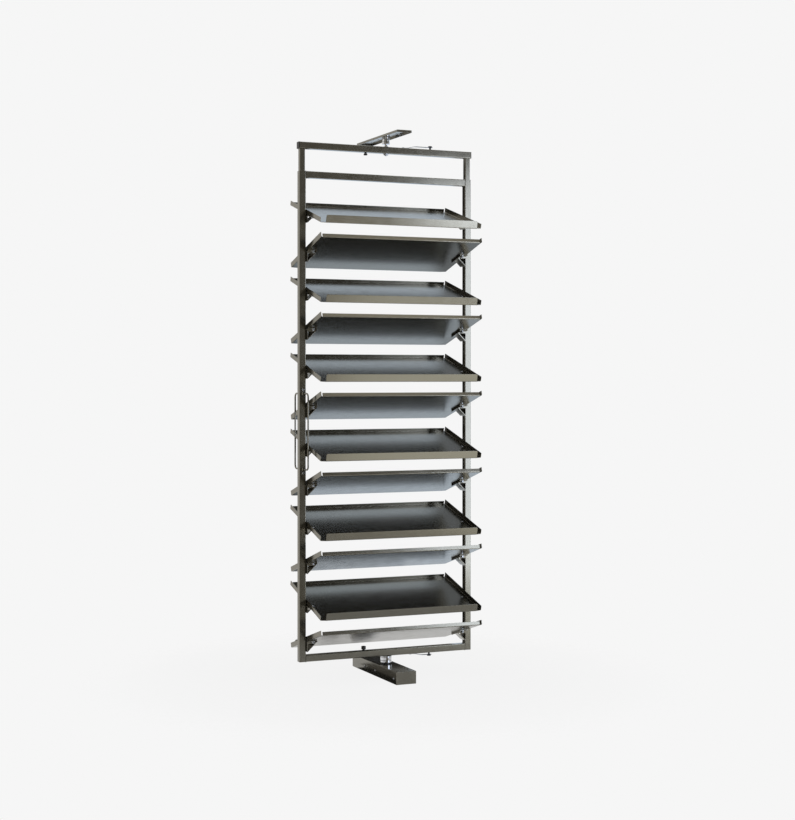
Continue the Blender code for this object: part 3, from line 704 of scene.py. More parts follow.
def round_run_tree():
    """Round bar along edges; ripples make it a weld bead."""
    tree, entry = new_tree(
        "round_run", Diameter="Float", Step="Float", Ripple="Float", Pitch="Float", Seed="Int"
    )
    path = add_node(tree, "GeometryNodeMeshToCurve", {"Mesh": entry["Geometry"]})
    run = add_node(tree, "GeometryNodeResampleCurve", {
        "Curve": path.outputs["Curve"], "Length": entry["Step"],
    }, mode="LENGTH")
    along = add_node(tree, "GeometryNodeSplineParameter").outputs["Length"]
    count = maths(tree, "DIVIDE", along, entry["Pitch"])
    ripple = maths(tree, "FRACT", count)
    place = maths(tree, "ADD", count, entry["Seed"])
    drift = add_node(tree, "ShaderNodeTexNoise", {"W": place, "Scale": 0.7}, noise_dimensions="1D")
    uneven = maths(tree, "ADD", ripple, drift.outputs["Fac"])
    swell = maths(tree, "SUBTRACT", 1.0, maths(tree, "MULTIPLY", uneven, entry["Ripple"]))
    shaped = add_node(tree, "GeometryNodeSetCurveRadius", {"Curve": run.outputs["Curve"], "Radius": swell})
    half = maths(tree, "MULTIPLY", entry["Diameter"], 0.5)
    outline = add_node(tree, "GeometryNodeCurvePrimitiveCircle", {"Resolution": 16, "Radius": half})
    bar = add_node(tree, "GeometryNodeCurveToMesh", {
        "Curve": shaped.outputs["Curve"], "Profile Curve": outline.outputs["Curve"], "Fill Caps": True,
    })
    return close_tree(tree, entry, bar.outputs["Mesh"])


def ball_ring_tree():
    """Balls in a ring about the pivot axis."""
    tree, entry = new_tree("ball_ring", Count="Int", Ring="Float", Ball="Float", Level="Float")
    ring = add_node(tree, "GeometryNodeMeshCircle", {"Vertices": entry["Count"], "Radius": entry["Ring"]})
    ball = add_node(tree, "GeometryNodeMeshIcoSphere", {"Radius": entry["Ball"], "Subdivisions": 3})
    balls = add_node(tree, "GeometryNodeInstanceOnPoints", {
        "Points": ring.outputs["Mesh"], "Instance": ball.outputs["Mesh"],
    })
    raised = moved(tree, balls.outputs["Instances"], Translation=vector(tree, Z=entry["Level"]))
    return close_tree(tree, entry, raised)


def points_mesh(name, places):
    """Mesh of loose points, each with the way it faces."""
    mesh = bpy.data.meshes.new(name)
    mesh.from_pydata([point for point, _ in places], [], [])
    facing = mesh.attributes.new("facing", "FLOAT_VECTOR", "POINT")
    for index, (_, way) in enumerate(places):
        facing.data[index].vector = way
    return mesh


def path_mesh(name, runs):
    """Mesh of edges only, one chain for each run of points."""
    points = []
    edges = []
    for run in runs:
        edges += [(len(points) + index, len(points) + index + 1) for index in range(len(run) - 1)]
        points += run
    mesh = bpy.data.meshes.new(name)
    mesh.from_pydata(points, edges, [])
    return mesh


def tray_place(sizes, number):
    """Place of a tray: it is tilted, and every second one is turned to the rear."""
    height = sizes.first_tray - number * sizes.tray_pitch
    turn = Matrix.Rotation(math.pi * (number % 2), 4, "Z")
    return Matrix.Translation((0, 0, height)) @ turn @ Matrix.Rotation(sizes.tray_tilt, 4, "X")


class SHOERACK_OT_frame_tubes(bpy.types.Operator):
    """Square tubes of the lower and the sliding frame"""
    bl_idname = "shoe_rack.frame_tubes"
    bl_label = "Frame tubes"

    def execute(self, context):
        sizes = context.scene.shoe_rack_sizes
        upright = Matrix.Identity(4)
        level = Matrix.Rotation(math.radians(90), 4, "Y")
        tubes = (
            ("left_post", "rack", upright, sizes.tube_wall),
            ("right_post", "rack", upright, sizes.tube_wall),
            ("bottom_rail", "rack", level, sizes.tube_wall),
            ("cross_rail", "rack", level, sizes.tube_wall),
            ("left_inner_post", "top_frame", upright, sizes.inner_wall),
            ("right_inner_post", "top_frame", upright, sizes.inner_wall),
            ("top_rail", "top_frame", level, sizes.tube_wall),
        )
        # The spindle goes through the bottom rail's lower wall, the pin through both walls of the top rail.
        holes = {"bottom_rail": (SPINDLE_HOLE, 6 * MM), "top_rail": (PIN_HOLE, 60 * MM)}
        for node, body, turn, wall in tubes:
            piece = new_piece(node + "_tube", self.tube(node, turn, wall, sizes))
            if node in holes:
                bore(piece, [(0, 0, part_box(node)[0].z)], *holes[node])
            settle(piece, body, "graphite_powder_coat", [node])
        return {"FINISHED"}

    def tube(self, node, turn, wall, sizes):
        low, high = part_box(node)
        size = high - low
        if turn == Matrix.Identity(4):
            across, deep, half = size.x, size.y, size.z / 2
        else:
            across, deep, half = size.z, size.y, size.x / 2
        rim = 0.4 * MM
        corner = sizes.tube_corner
        outer = (across, deep, corner)
        eased = (across - 2 * rim, deep - 2 * rim, corner - rim)
        inner = (across - 2 * wall, deep - 2 * wall, max(corner - wall, 0.3 * MM))
        sections = [
            (*outer, rim - half), (*outer, half - rim), (*eased, half),
            (*inner, half), (*inner, -half), (*eased, -half),
        ]
        place = Matrix.Translation((low + high) / 2) @ turn
        return loft(node, sections, place, closed=True)


class SHOERACK_OT_trays(bpy.types.Operator):
    """Slanted trays folded from sheet, with a lip on each side"""
    bl_idname = "shoe_rack.trays"
    bl_label = "Trays"

    def execute(self, context):
        sizes = context.scene.shoe_rack_sizes
        master = new_piece("tray_master", self.sheet(sizes))
        wall = master.modifiers.new("sheet", "SOLIDIFY")
        wall.thickness = sizes.sheet
        wall.offset = 1
        wall.use_even_offset = True
        flatten(master)
        round_edges(master, 0.8 * sizes.edge_round, 50)
        flatten(master)
        tree = tray_by_number_tree()
        for number in range(sizes.tray_count):
            node = f"tray_{number + 1:02d}"
            piece = grow(
                node + "_sheet", tree, bpy.data.meshes.new(node), "graphite_powder_coat", Tray=master,
                Number=number, Pitch=sizes.tray_pitch, First=sizes.first_tray, Tilt=sizes.tray_tilt,
            )
            settle(piece, "rack", "graphite_powder_coat", [node])
            self.compare(piece, node)
        bpy.data.objects.remove(master)
        return {"FINISHED"}

    def sheet(self, sizes):
        """Middle of the tray laid level, with its lips folded up; the low lip is towards -Y."""
        flat_x = sizes.tray_width / 2 - sizes.sheet - sizes.bend
        flat_y = sizes.tray_depth / 2 - sizes.sheet - sizes.bend
        low_x = sizes.low_lip_length / 2
        high_x = sizes.high_lip_length / 2
        low_y = -sizes.side_lip_low
        high_y = sizes.side_lip_high
        lips = (
            ((-low_x, -flat_y), (low_x, -flat_y), (0, -1), sizes.low_lip, 6 * MM),
            ((flat_x, low_y), (flat_x, high_y), (1, 0), sizes.side_lip, 2 * MM),
            ((high_x, flat_y), (-high_x, flat_y), (0, 1), sizes.high_lip, 2 * MM),
            ((-flat_x, high_y), (-flat_x, low_y), (-1, 0), sizes.side_lip, 2 * MM),
        )
        work = bmesh.new()
        rim = []
        for start, end, *_ in lips:
            rim += [work.verts.new((*start, 0)), work.verts.new((*end, 0))]
        work.faces.new(rim)
        for index, (_, _, outward, height, corner) in enumerate(lips):
            edge = work.edges.get(rim[2 * index:2 * index + 2])
            self.fold(work, edge, Vector((*outward, 0)), height, corner, sizes.bend)
        bmesh.ops.recalc_face_normals(work, faces=work.faces)
        return mesh_of(work, "tray_sheet")

    def fold(self, work, edge, outward, height, corner, bend):
        """Fold a lip up from an edge, with a round bend and rounded upper corners."""
        up = Vector((0, 0, 1))
        moves = []
        for step in range(CORNER_STEPS):
            start = math.radians(90 * step / CORNER_STEPS)
            end = math.radians(90 * (step + 1) / CORNER_STEPS)
            across = bend * (math.sin(end) - math.sin(start))
            rise = bend * (math.cos(start) - math.cos(end))
            moves.append(across * outward + rise * up)
        moves.append((height - bend) * up)
        for move in moves:
            made = bmesh.ops.extrude_edge_only(work, edges=[edge])["geom"]
            corners = [item for item in made if isinstance(item, bmesh.types.BMVert)]
            bmesh.ops.translate(work, verts=corners, vec=move)
            edge = work.edges.get(corners)
        bmesh.ops.bevel(
            work, geom=corners, offset=corner, segments=CORNER_STEPS, profile=0.5, affect="VERTICES"
        )

    def compare(self, piece, node):
        """Stop if the tray doesn't fill its CAD node's box."""
        low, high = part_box(node)
        corners = [Vector(corner) for corner in piece.bound_box]
        for axis in range(3):
            made = (min(corner[axis] for corner in corners), max(corner[axis] for corner in corners))
            if abs(made[0] - low[axis]) > MM or abs(made[1] - high[axis]) > MM:
                raise RuntimeError(f"{piece.name} leaves its CAD box on axis {axis}: {made}")


class SHOERACK_OT_brackets(bpy.types.Operator):
    """Pressed brackets that carry the trays on the posts"""
    bl_idname = "shoe_rack.brackets"
    bl_label = "Brackets"

    def execute(self, context):
        sizes = context.scene.shoe_rack_sizes
        for number in range(sizes.tray_count):
            for side, _ in SIDES:
                node = f"bracket_{number + 1:02d}_{side}"
                piece = new_piece(node + "_pressing", node_copy(node))
                round_edges(piece, 1.6 * sizes.edge_round, 25)
                settle(piece, "rack", "graphite_powder_coat", [node])
        return {"FINISHED"}


class SHOERACK_OT_handles(bpy.types.Operator):
    """Bent wire handles on the front and rear of the left post"""
    bl_idname = "shoe_rack.handles"
    bl_label = "Handles"

    def execute(self, context):
        sizes = context.scene.shoe_rack_sizes
        tree = round_run_tree()
        for node, way in HANDLES:
            low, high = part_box(node)
            middle_x = (low.x + high.x) / 2
            middle_z = (low.z + high.z) / 2
            face = high.y if way < 0 else low.y
            lug_centre = (high.z - low.z - LUG_LENGTH) / 2
            path = self.wire_path(high.y - low.y, lug_centre - WIRE_OFFSET, sizes)
            points = [(middle_x, face + way * out, middle_z + up) for out, up in path]
            wire = grow(
                node + "_wire", tree, path_mesh(node, [points]), "graphite_powder_coat",
                Diameter=sizes.handle_wire, Step=2.5 * MM, Ripple=0.0, Pitch=MM, Seed=0,
            )
            meshes = [wire.data]
            for end in (-1, 1):
                meshes += self.lug((middle_x, face, middle_z + end * lug_centre), way, -end, sizes)
            wire.data = join_meshes(node + "_wire", meshes)
            settle(wire, "rack", "graphite_powder_coat", [node])
        return {"FINISHED"}

    def wire_path(self, reach, leg, sizes):
        """Outward and upward steps of the wire from its lower to its upper foot."""
        bend = sizes.handle_bend
        out = reach - sizes.handle_wire / 2
        path = [(0.5 * MM, -leg), (out - bend - MM, -leg)]
        for start, level in ((-90, bend - leg), (0, leg - bend)):
            for step in range(13):
                turn = math.radians(start + 90 * step / 12)
                path.append((out - bend + bend * math.cos(turn), level + bend * math.sin(turn)))
        path += [(out - bend - MM, leg), (0.5 * MM, leg)]
        return path

    def lug(self, place, way, inner, sizes):
        """Meshes of a stamped lug under the wire's foot and of the small weld cone round the wire."""
        upright = Matrix.Rotation(math.radians(90), 4, "X")
        rim = sizes.edge_round
        sections = []
        for inset, level in ((rim, 0), (0, rim), (0, LUG_SHEET - rim), (rim, LUG_SHEET)):
            corner = LUG_WIDTH / 2 - inset - 0.01 * MM
            sections.append((LUG_WIDTH - 2 * inset, LUG_LENGTH - 2 * inset, corner, way * -level))
        plate = loft("lug", sections, Matrix.Translation(place) @ upright)
        cone = turned("lug_weld", [(5.4 * MM, 0), (4.0 * MM, MM), (3.1 * MM, 3.2 * MM)])
        cone.transform(Matrix.Rotation(math.radians(-90 * way), 4, "X"))
        x, y, z = place
        cone.transform(Matrix.Translation((x, y + way * LUG_SHEET, z + inner * WIRE_OFFSET)))
        return [plate, cone]


class SHOERACK_OT_base(bpy.types.Operator):
    """Base cover and plate, the thrust bearing and the chrome hub"""
    bl_idname = "shoe_rack.base"
    bl_label = "Base"

    def execute(self, context):
        sizes = context.scene.shoe_rack_sizes
        cover = new_piece("base_cover_shell", pan("base_cover", 2 * MM, 3 * MM, 0.4 * MM, 1.6 * MM))
        bore(cover, [(0, 0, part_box("base_cover")[1].z)], COVER_HOLE, 8 * MM)
        settle(cover, "base", "graphite_powder_coat", ["base_cover"])
        plate = new_piece("base_plate_steel", node_copy("base_plate"))
        round_edges(plate, 0.8 * sizes.edge_round, 50)
        settle(plate, "base", "zinc_plated_steel", ["base_plate"])
        self.bearing(sizes)
        self.hub()
        return {"FINISHED"}

    def bearing(self, sizes):
        """Two pressed races with balls between them."""
        low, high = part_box("thrust_bearing")
        outer = high.x
        hole = SPINDLE_HOLE
        race = 1.35 * MM
        eased = outer - 0.8 * MM
        edge = 0.4 * MM
        lower = [
            (eased, low.z), (outer, low.z + edge), (outer, low.z + race),
            (hole, low.z + race), (hole, low.z),
        ]
        upper = [
            (hole, high.z), (eased, high.z), (outer, high.z - edge),
            (outer, high.z - race), (hole, high.z - race),
        ]
        meshes = [turned("race", profile, closed=True) for profile in (lower, upper)]
        races = new_piece("thrust_bearing_races", join_meshes("thrust_bearing_races", meshes))
        settle(races, "base", "spring_steel", ["thrust_bearing"])
        ball = (high.z - low.z - 2 * race) / 2 + 0.1 * MM
        balls = grow(
            "thrust_bearing_balls", ball_ring_tree(), bpy.data.meshes.new("balls"), "chrome_plate",
            Count=sizes.balls, Ring=(outer + hole) / 2 + 4.5 * MM, Ball=ball, Level=(low.z + high.z) / 2,
        )
        settle(balls, "base", "chrome_plate")

    def hub(self):
        """Turned hub with a collar and two grooves."""
        low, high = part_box("pivot_hub")
        outer = high.x
        hole = SPINDLE_HOLE
        profile = [
            (hole, low.z), (outer, low.z), (outer, low.z + 6 * MM), (outer - 0.9 * MM, low.z + 6.6 * MM),
            (outer - 0.9 * MM, low.z + 7.8 * MM), (outer, low.z + 8.4 * MM), (outer, high.z - 4.6 * MM),
            (outer - 0.8 * MM, high.z - 4.1 * MM), (outer - 0.8 * MM, high.z - 3.2 * MM),
            (outer, high.z - 2.7 * MM), (outer, high.z), (hole, high.z),
        ]
        piece = new_piece("pivot_hub_turned", turned("pivot_hub", soften(profile, 0.9 * MM), closed=True))
        settle(piece, "rack", "chrome_plate", ["pivot_hub"])


class SHOERACK_OT_top(bpy.types.Operator):
    """Top plate with its bush, the pin on the top rail and the end caps"""
    bl_idname = "shoe_rack.top"
    bl_label = "Top fittings"

    def execute(self, context):
        self.plate()
        self.bush()
        self.pin()
        for side, way in SIDES:
            self.cap(side + "_end_cap", way, context.scene.shoe_rack_sizes)
        return {"FINISHED"}

    def plate(self):
        """Shallow pan with rounded folds, drilled along its middle."""
        low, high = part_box("top_plate")
        middle = (low.y + high.y) / 2
        piece = new_piece("top_plate_pan", pan("top_plate", 2 * MM, 4 * MM, 0.3 * MM, 1.8 * MM))
        holes = [(0, middle + way * offset, high.z) for offset in PLATE_HOLES for way in (-1, 1)]
        bore(piece, holes, PLATE_HOLE, 8 * MM)
        settle(piece, "ceiling_plate", "graphite_powder_coat", ["top_plate"])

    def bush(self):
        low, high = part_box("top_bush")
        outer = high.x
        roof = high.z - 2 * MM
        profile = [
            (AXIS_HOLE, high.z), (outer, high.z), (outer, high.z - 5 * MM), (outer - MM, high.z - 6 * MM),
            (outer - MM, low.z + 10 * MM), (outer, low.z + 9 * MM), (outer, low.z), (PIN_HOLE, low.z),
            (PIN_HOLE, roof), (AXIS_HOLE, roof),
        ]
        piece = new_piece("top_bush_turned", turned("top_bush", soften(profile, 0.9 * MM)))
        settle(piece, "ceiling_plate", "chrome_plate", ["top_bush"])

    def pin(self):
        low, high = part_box("top_pin")
        collar = high.x
        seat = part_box("top_rail")[1].z + GAP
        top = seat + PIN_COLLAR
        profile = [
            (AXIS_HOLE, high.z), (PIN_SHANK, high.z), (PIN_SHANK, top), (collar, top), (collar, seat),
            (PIN_SHANK, seat), (PIN_SHANK, low.z), (AXIS_HOLE, low.z),
        ]
        piece = new_piece("top_pin_turned", turned("top_pin", soften(profile, 0.8 * MM)))
        settle(piece, "top_frame", "chrome_plate", ["top_pin"])

    def cap(self, node, way, sizes):
        """Moulded cap with a slightly domed face; its plug fits in the rail."""
        low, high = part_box(node)
        rail_low, rail_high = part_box("top_rail")
        middle = (low + high) / 2
        width = high.z - low.z
        plug = rail_high.z - rail_low.z - 2 * sizes.tube_wall - 2 * GAP
        face = high.x if way > 0 else low.x
        thick = 2.5 * MM
        # Width, corner radius and level of each step, from the plug's end to the middle of the face
        steps = (
            (plug - MM, 0.6 * MM, -8 * MM), (plug, MM, -7.4 * MM), (plug, MM, 0), (width - MM, 1.6 * MM, 0),
            (width, 2 * MM, 0.5 * MM), (width, 2 * MM, 1.1 * MM), (width - 0.7 * MM, 2 * MM, 1.8 * MM),
            (width - 2.4 * MM, 2 * MM, 2.25 * MM), (width - 8 * MM, 2 * MM, thick),
        )
        sections = [(side, side, corner, level) for side, corner, level in steps]
        outward = Matrix.Rotation(way * math.radians(90), 4, "Y")
        place = Matrix.Translation((face - way * thick, middle.y, middle.z)) @ outward
        piece = new_piece(node + "_moulding", loft(node, sections, place))
        settle(piece, "top_frame", "black_plastic", [node])


class SHOERACK_OT_springs(bpy.types.Operator):
    """Leaf springs with their pads, and the buffers on the rails"""
    bl_idname = "shoe_rack.springs"
    bl_label = "Springs and buffers"

    def execute(self, context):
        sizes = context.scene.shoe_rack_sizes
        for end, body, way in (("top", "top_frame", 1), ("bottom", "rack", -1)):
            leaf = new_piece(end + "_leaf_strip", node_copy(end + "_leaf_spring"))
            round_edges(leaf, 0.6 * sizes.edge_round, 40)
            settle(leaf, body, "spring_steel", [end + "_leaf_spring"])
            self.rubber(end + "_spring_pad", body, way, 3.5 * MM, 4.5 * MM)
            self.rubber(end + "_buffer", body, -way, 4.5 * MM, None)
        return {"FINISHED"}

    def rubber(self, node, body, way, stem, head):
        """Moulded knob on a stem; way is the sign of Z that its head points in."""
        low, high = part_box(node)
        centre = (low + high) / 2
        foot = low.z if way > 0 else high.z
        total = high.z - low.z
        radius = (high.x - low.x) / 2
        neck = total - head if head else 4 * MM - GAP
        profile = [
            (AXIS_HOLE, 0), (stem, 0), (stem, neck), (radius, neck + 0.2 * MM), (radius, total - 0.5 * MM),
            (radius * 0.75, total), (radius * 0.35, total - 0.1 * MM), (radius * 0.3, total - 0.9 * MM),
            (AXIS_HOLE, total - 0.9 * MM),
        ]
        shape = [(out, foot + way * up) for out, up in soften(profile, 1.3 * MM)]
        piece = new_piece(node + "_rubber", turned(node, shape, (centre.x, centre.y)))
        settle(piece, body, "black_rubber", [node])


class SHOERACK_OT_fasteners(bpy.types.Operator):
    """Screws and nuts of trays, brackets, handles, base and springs"""
    bl_idname = "shoe_rack.fasteners"
    bl_label = "Screws and nuts"

    def execute(self, context):
        sizes = context.scene.shoe_rack_sizes
        screw = pan_head_screw_tree()
        nut = hex_nut_tree()
        for name, body, scale, places in self.screw_groups(sizes):
            head = sizes.screw_head * scale
            piece = grow(
                name, screw, points_mesh(name, places), "zinc_plated_steel", Head=head, Height=0.55 * head,
                Slot=0.3 * head, Washer=1.25 * head, Rim=0.15 * head,
            )
            settle(piece, body, "zinc_plated_steel")
        places = self.tray_bolts(sizes, -sizes.sheet - GAP - BRACKET_SHEET, -1)
        corner = sizes.nut
        nuts = grow(
            "tray_nuts", nut, points_mesh("tray_nuts", places), "zinc_plated_steel",
            Corner=corner, Height=0.8 * corner, Bolt=0.5 * corner, Stub=0.35 * corner,
            Washer=1.15 * corner, Rim=0.18 * corner,
        )
        settle(nuts, "rack", "zinc_plated_steel")
        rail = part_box("top_rail")[0].z
        pin_nut = grow(
            "pin_nut", nut, points_mesh("pin_nut", [((0, 0, rail), (0, 0, -1))]), "zinc_plated_steel",
            Corner=9.8 * MM, Height=4.6 * MM, Bolt=5.4 * MM, Stub=2.6 * MM, Washer=10.6 * MM, Rim=1.0 * MM,
        )
        settle(pin_nut, "top_frame", "zinc_plated_steel")
        return {"FINISHED"}

    def tray_bolts(self, sizes, level, up):
        """Places of the trays' bolts at a level over the sheet: one per bracket, in front of its post."""
        places = []
        for number in range(sizes.tray_count):
            place = tray_place(sizes, number)
            front = -1 if number % 2 == 0 else 1
            for _, way in SIDES:
                spot = Vector((way * TRAY_BOLT_X, front * TRAY_BOLT_Y, level))
                places.append((place @ spot, place.to_3x3() @ Vector((0, 0, up))))
        return places

    def screw_groups(self, sizes):
        """Name, body, size and places of each group of screws."""
        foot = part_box("right_post")[0].x - GAP - BRACKET_FOOT
        brackets = []
        for number in range(sizes.tray_count):
            level = tray_place(sizes, number).translation.z - BRACKET_SCREW_DROP
            brackets += [((way * foot, 0, level), (-way, 0, 0)) for _, way in SIDES]
        handles = []
        for node, way in HANDLES:
            low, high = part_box(node)
            face = high.y if way < 0 else low.y
            for level in (low.z + LUG_SCREW, high.z - LUG_SCREW):
                handles.append((((low.x + high.x) / 2, face + way * LUG_SHEET, level), (0, way, 0)))
        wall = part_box("base_cover")[1].x
        base = [
            ((way * wall, along, BASE_SCREW_HEIGHT), (way, 0, 0))
            for _, way in SIDES for along in BASE_SCREWS_Y
        ]
        top_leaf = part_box("top_leaf_spring")[0]
        bottom_low, bottom_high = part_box("bottom_leaf_spring")
        top_foot = (top_leaf.x + LEAF_SCREW, 0, top_leaf.z + LEAF_SHEET)
        bottom_foot = (bottom_low.x + LEAF_SCREW, 0, bottom_high.z - LEAF_SHEET)
        return (
            ("tray_screws", "rack", 1.0, self.tray_bolts(sizes, 0, 1)),
            ("bracket_screws", "rack", 0.95, brackets),
            ("handle_screws", "rack", 0.95, handles),
            ("base_screws", "base", 1.1, base),
            ("top_leaf_screw", "top_frame", 0.85, [(top_foot, (0, 0, 1))]),
            ("bottom_leaf_screw", "rack", 0.85, [(bottom_foot, (0, 0, -1))]),
        )


class SHOERACK_OT_welds(bpy.types.Operator):
    """Weld beads where rails meet posts"""
    bl_idname = "shoe_rack.welds"
    bl_label = "Welds"

    def execute(self, context):
        sizes = context.scene.shoe_rack_sizes
        tree = round_run_tree()
        inner_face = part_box("right_post")[0].x
        lower = []
        for node in ("bottom_rail", "cross_rail"):
            low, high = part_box(node)
            for _, way in SIDES:
                for level in (low.z - WELD_PROUD, high.z + WELD_PROUD):
                    x = way * (inner_face - WELD_PROUD)
                    lower.append([(x, -RAIL_WELD, level), (x, RAIL_WELD, level)])
        upper = []
        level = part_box("top_rail")[0].z - WELD_PROUD
        for node in ("left_inner_post", "right_inner_post"):
            low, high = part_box(node)
            for x in (low.x - WELD_PROUD, high.x + WELD_PROUD):
                upper.append([(x, -INNER_POST_WELD, level), (x, INNER_POST_WELD, level)])
        for name, body, runs in (("frame_welds", "rack", lower), ("top_frame_welds", "top_frame", upper)):
            beads = grow(
                name, tree, path_mesh(name, runs), "graphite_powder_coat", Diameter=sizes.weld,
                Step=0.35 * MM, Ripple=0.14, Pitch=1.6 * MM, Seed=7,
            )
            settle(beads, body, "graphite_powder_coat")
        return {"FINISHED"}


class SHOERACK_OT_stage(bpy.types.Operator):
    """Pale floor, studio light and the camera"""
    bl_idname = "shoe_rack.stage"
    bl_label = "Stage"

    def execute(self, context):
        stage = context.scene.shoe_rack_stage
        context.scene.view_settings.view_transform = "Standard"
        self.studio(context.scene, stage)
        self.floor(stage)
        self.flags()
        self.softbox("key_light", stage.key_power, (2.58, -3.02, 1.12), AIM, (1.95, 2.5), "#e0ebff")
        self.softbox("low_light", stage.low_power, (1.4, -2.05, -0.28), AIM, (1.4, 1.15), "#f4f8f4")
        self.softbox("strip_light", stage.strip_power, (1.8, -3.65, 3.75), AIM, (1.1, 1.2), "#fffaf0")
        self.softbox("top_light", stage.top_power, (-0.4, -0.6, 3.9), (0, 0, 1.0), (3.4, 3.4), "#f7faff")
        self.camera(context.scene, stage)
        return {"FINISHED"}

    def studio(self, scene, stage):
        """Pale behind, warm below and dim in front, as the metal mirrors it; the camera sees the backdrop."""
        world = bpy.data.worlds.new("studio")
        world.use_nodes = True
        tree = world.node_tree
        tree.nodes.clear()
        way = add_node(tree, "ShaderNodeTexCoord").outputs["Generated"]
        split = add_node(tree, "ShaderNodeSeparateXYZ", {0: way}).outputs
        # Shares of the direction: from front to rear, from level to below, and from left to right
        behind = spread(tree, split["Y"], (-0.3, 0.25), interpolation_type="SMOOTHSTEP")
        below = spread(tree, split["Z"], (-0.12, -0.42), interpolation_type="SMOOTHSTEP")
        right = spread(tree, split["X"], (-0.25, 0.35), interpolation_type="SMOOTHSTEP")
        rays = add_node(tree, "ShaderNodeLightPath").outputs
        clear = maths(tree, "MAXIMUM", rays["Is Camera Ray"], rays["Is Transmission Ray"])
        rear = mix(tree, right, stage.wall, stage.window)
        front = mix(tree, below, stage.fill, stage.ground)
        mirrored = mix(tree, behind, front, rear)
        lit = mix(tree, rays["Is Glossy Ray"], stage.fill, mirrored)
        shown = mix(tree, clear, lit, stage.backdrop)
        light = add_node(tree, "ShaderNodeBackground", {"Color": shown})
        add_node(tree, "ShaderNodeOutputWorld", {"Surface": light.outputs[0]})
        scene.world = world

    def flags(self):
        """Dark cards that only mirrored rays see, which paint shade into the reflections: behind the rack,
        past its right end and round its base.
        """
        # Name, width and depth, middle, lower and upper level, and colour
        on_floor = (0.0005, 0.0015)
        cards = (
            ("rear_flag", (0.29, 0.01), (-0.115, 0.9), (0.02, 2.1), "#000000"),
            ("side_flag", (0.4, 0.01), (0.92, 0.9), (0.75, 2.3), "#8f949a"),
            # The cards on the floor are painted shadow of the base and the rack, as the metal mirrors the
            # floor.
            ("floor_flag", (0.125, 0.37), (-0.0225, 0.0), on_floor, "#1e1e1c"),
            ("edge_flag", (0.08, 0.4), (-0.125, 0.06), on_floor, "#625f59"),
            ("base_flag", (0.34, 0.01), (0.13, 0.45), (0.04, 0.2), "#2c2b29"),
            ("low_flag", (0.2, 0.4), (0.01, 0.62), on_floor, "#000000"),
        )
        card_corner = 0.004
        for name, size, middle, levels, code in cards:
            sections = [(*size, card_corner, level) for level in levels]
            card = new_piece(name, loft(name, sections, Matrix.Translation((*middle, 0))))
            tree = self.bare_material(card, name)
            glow = add_node(tree, "ShaderNodeEmission", {"Color": linear(code)})
            add_node(tree, "ShaderNodeOutputMaterial", {"Surface": glow.outputs[0]})
            card.visible_camera = False
            card.visible_diffuse = False
            card.visible_shadow = False
            card.visible_transmission = False

    def bare_material(self, piece, name):
        """Give a piece a new material with no nodes, and return its tree."""
        material = bpy.data.materials.new(name)
        material.use_nodes = True
        material.node_tree.nodes.clear()
        piece.data.materials.append(material)
        return material.node_tree

    def floor(self, stage):
        """Pale disc that fades into the backdrop and keeps the rack's shadow."""
        rings = [circle(FLOOR_RADIUS, level) for level in (-0.001, -0.006)]
        floor = new_piece("studio_floor", bridge("studio_floor", rings))
        tree = self.bare_material(floor, "pale_floor")
        place = add_node(tree, "ShaderNodeTexCoord").outputs["Object"]
        away = add_node(tree, "ShaderNodeVectorMath", {0: place}, operation="LENGTH").outputs["Value"]
        fade = spread(tree, away, FLOOR_FADE, (1.0, 0.0), interpolation_type="SMOOTHSTEP")
        paint = add_node(tree, "ShaderNodeBsdfDiffuse", {"Color": stage.backdrop})
        glow = add_node(tree, "ShaderNodeEmission", {"Color": stage.backdrop})
        # The camera sees the floor near white; the metal mirrors it darker in front than behind.
        seen = add_node(tree, "ShaderNodeLightPath").outputs["Is Camera Ray"]
        depth = add_node(tree, "ShaderNodeSeparateXYZ", {"Vector": place}).outputs["Y"]
        mirrored = spread(tree, depth, (-0.25, 0.1), (0.3, 0.85))
        share = spread(tree, seen, (0.0, 1.0), (mirrored, 0.95))
        surface = add_node(tree, "ShaderNodeMixShader", {0: share, 1: paint.outputs[0], 2: glow.outputs[0]})
        clear = add_node(tree, "ShaderNodeBsdfTransparent")
        faded = add_node(tree, "ShaderNodeMixShader", {0: fade, 1: clear.outputs[0], 2: surface.outputs[0]})
        add_node(tree, "ShaderNodeOutputMaterial", {"Surface": faded.outputs[0]})

    def softbox(self, name, watts, place, target, size, code):
        data = bpy.data.lights.new(name, "AREA")
        data.shape = "RECTANGLE"
        data.size, data.size_y = size
        data.energy = watts
        data.color = linear(code)[:3]
        lamp = new_piece(name, data)
        lamp.location = place
        lamp.rotation_euler = (Vector(target) - Vector(place)).to_track_quat("-Z", "Y").to_euler()

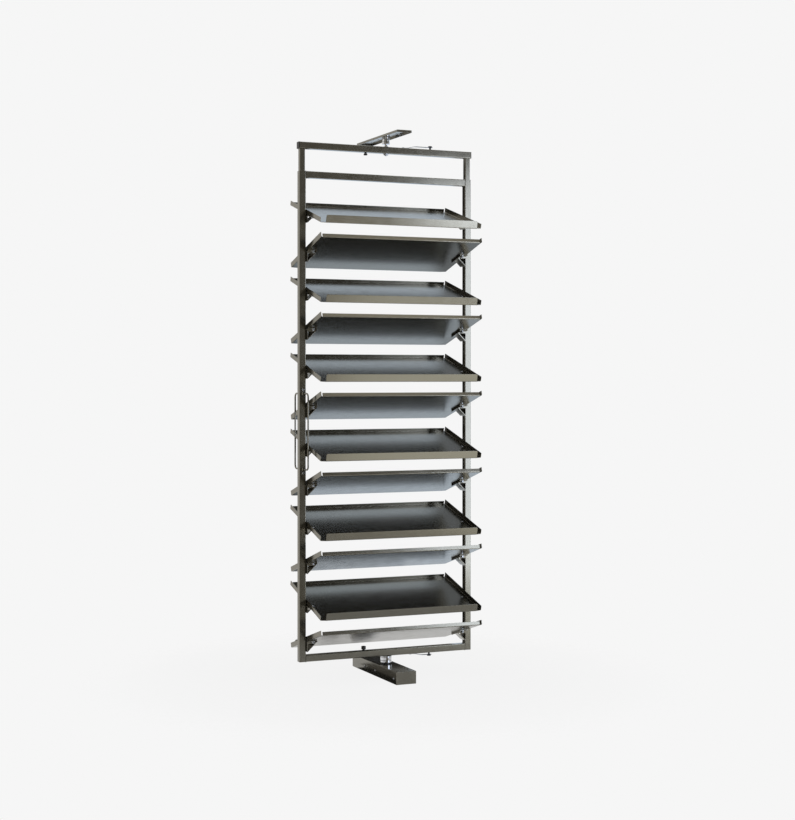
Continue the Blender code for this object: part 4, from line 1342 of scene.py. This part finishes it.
    def camera(self, scene, stage):
        """Level camera to the left of the front; its shift puts the horizon where the photograph has it."""
        data = bpy.data.cameras.new("camera")
        long_side = max(IMAGE_WIDTH, IMAGE_HEIGHT)
        data.sensor_width = 36
        data.lens = FOCAL_PIXELS / long_side * data.sensor_width
        data.shift_x = (IMAGE_WIDTH / 2 - CENTRE_COLUMN) / long_side
        data.shift_y = -(IMAGE_HEIGHT / 2 - HORIZON_ROW) / long_side
        camera = new_piece("camera", data)
        away = stage.camera_distance
        turn = stage.camera_turn
        camera.location = (-away * math.sin(turn), -away * math.cos(turn), stage.camera_height)
        camera.rotation_euler = (math.radians(90), 0, -turn)
        scene.camera = camera


OPERATORS = (
    SHOERACK_OT_frame_tubes, SHOERACK_OT_trays, SHOERACK_OT_brackets, SHOERACK_OT_handles, SHOERACK_OT_base,
    SHOERACK_OT_top, SHOERACK_OT_springs, SHOERACK_OT_fasteners, SHOERACK_OT_welds, SHOERACK_OT_stage,
)
GROUPS = (
    ("shoe_rack_sizes", ShoeRackSizes),
    ("shoe_rack_finishes", ShoeRackFinishes),
    ("shoe_rack_stage", ShoeRackStage),
)


class SHOERACK_PT_build(bpy.types.Panel):
    """Lists the steps that build the rack, with their values"""
    bl_idname = "SHOERACK_PT_build"
    bl_label = "Rotating shoe rack"
    bl_space_type = "VIEW_3D"
    bl_region_type = "UI"
    bl_category = "Shoe rack"

    def draw(self, context):
        for operator in OPERATORS:
            self.layout.operator(operator.bl_idname)
        for attribute, group in GROUPS:
            box = self.layout.box()
            for name in group.__annotations__:
                box.prop(getattr(context.scene, attribute), name)


def register():
    for _, group in GROUPS:
        bpy.utils.register_class(group)
    for operator in OPERATORS:
        bpy.utils.register_class(operator)
    bpy.utils.register_class(SHOERACK_PT_build)
    for attribute, group in GROUPS:
        setattr(bpy.types.Scene, attribute, PointerProperty(type=group))


def unregister():
    for attribute, _ in GROUPS:
        delattr(bpy.types.Scene, attribute)
    bpy.utils.unregister_class(SHOERACK_PT_build)
    for operator in reversed(OPERATORS):
        bpy.utils.unregister_class(operator)
    for _, group in reversed(GROUPS):
        bpy.utils.unregister_class(group)


def main():
    register()
    bpy.ops.shoe_rack.frame_tubes()
    bpy.ops.shoe_rack.trays()
    bpy.ops.shoe_rack.brackets()
    bpy.ops.shoe_rack.handles()
    bpy.ops.shoe_rack.base()
    bpy.ops.shoe_rack.top()
    bpy.ops.shoe_rack.springs()
    bpy.ops.shoe_rack.fasteners()
    bpy.ops.shoe_rack.welds()
    bpy.ops.shoe_rack.stage()


if __name__ == "__main__":
    main()
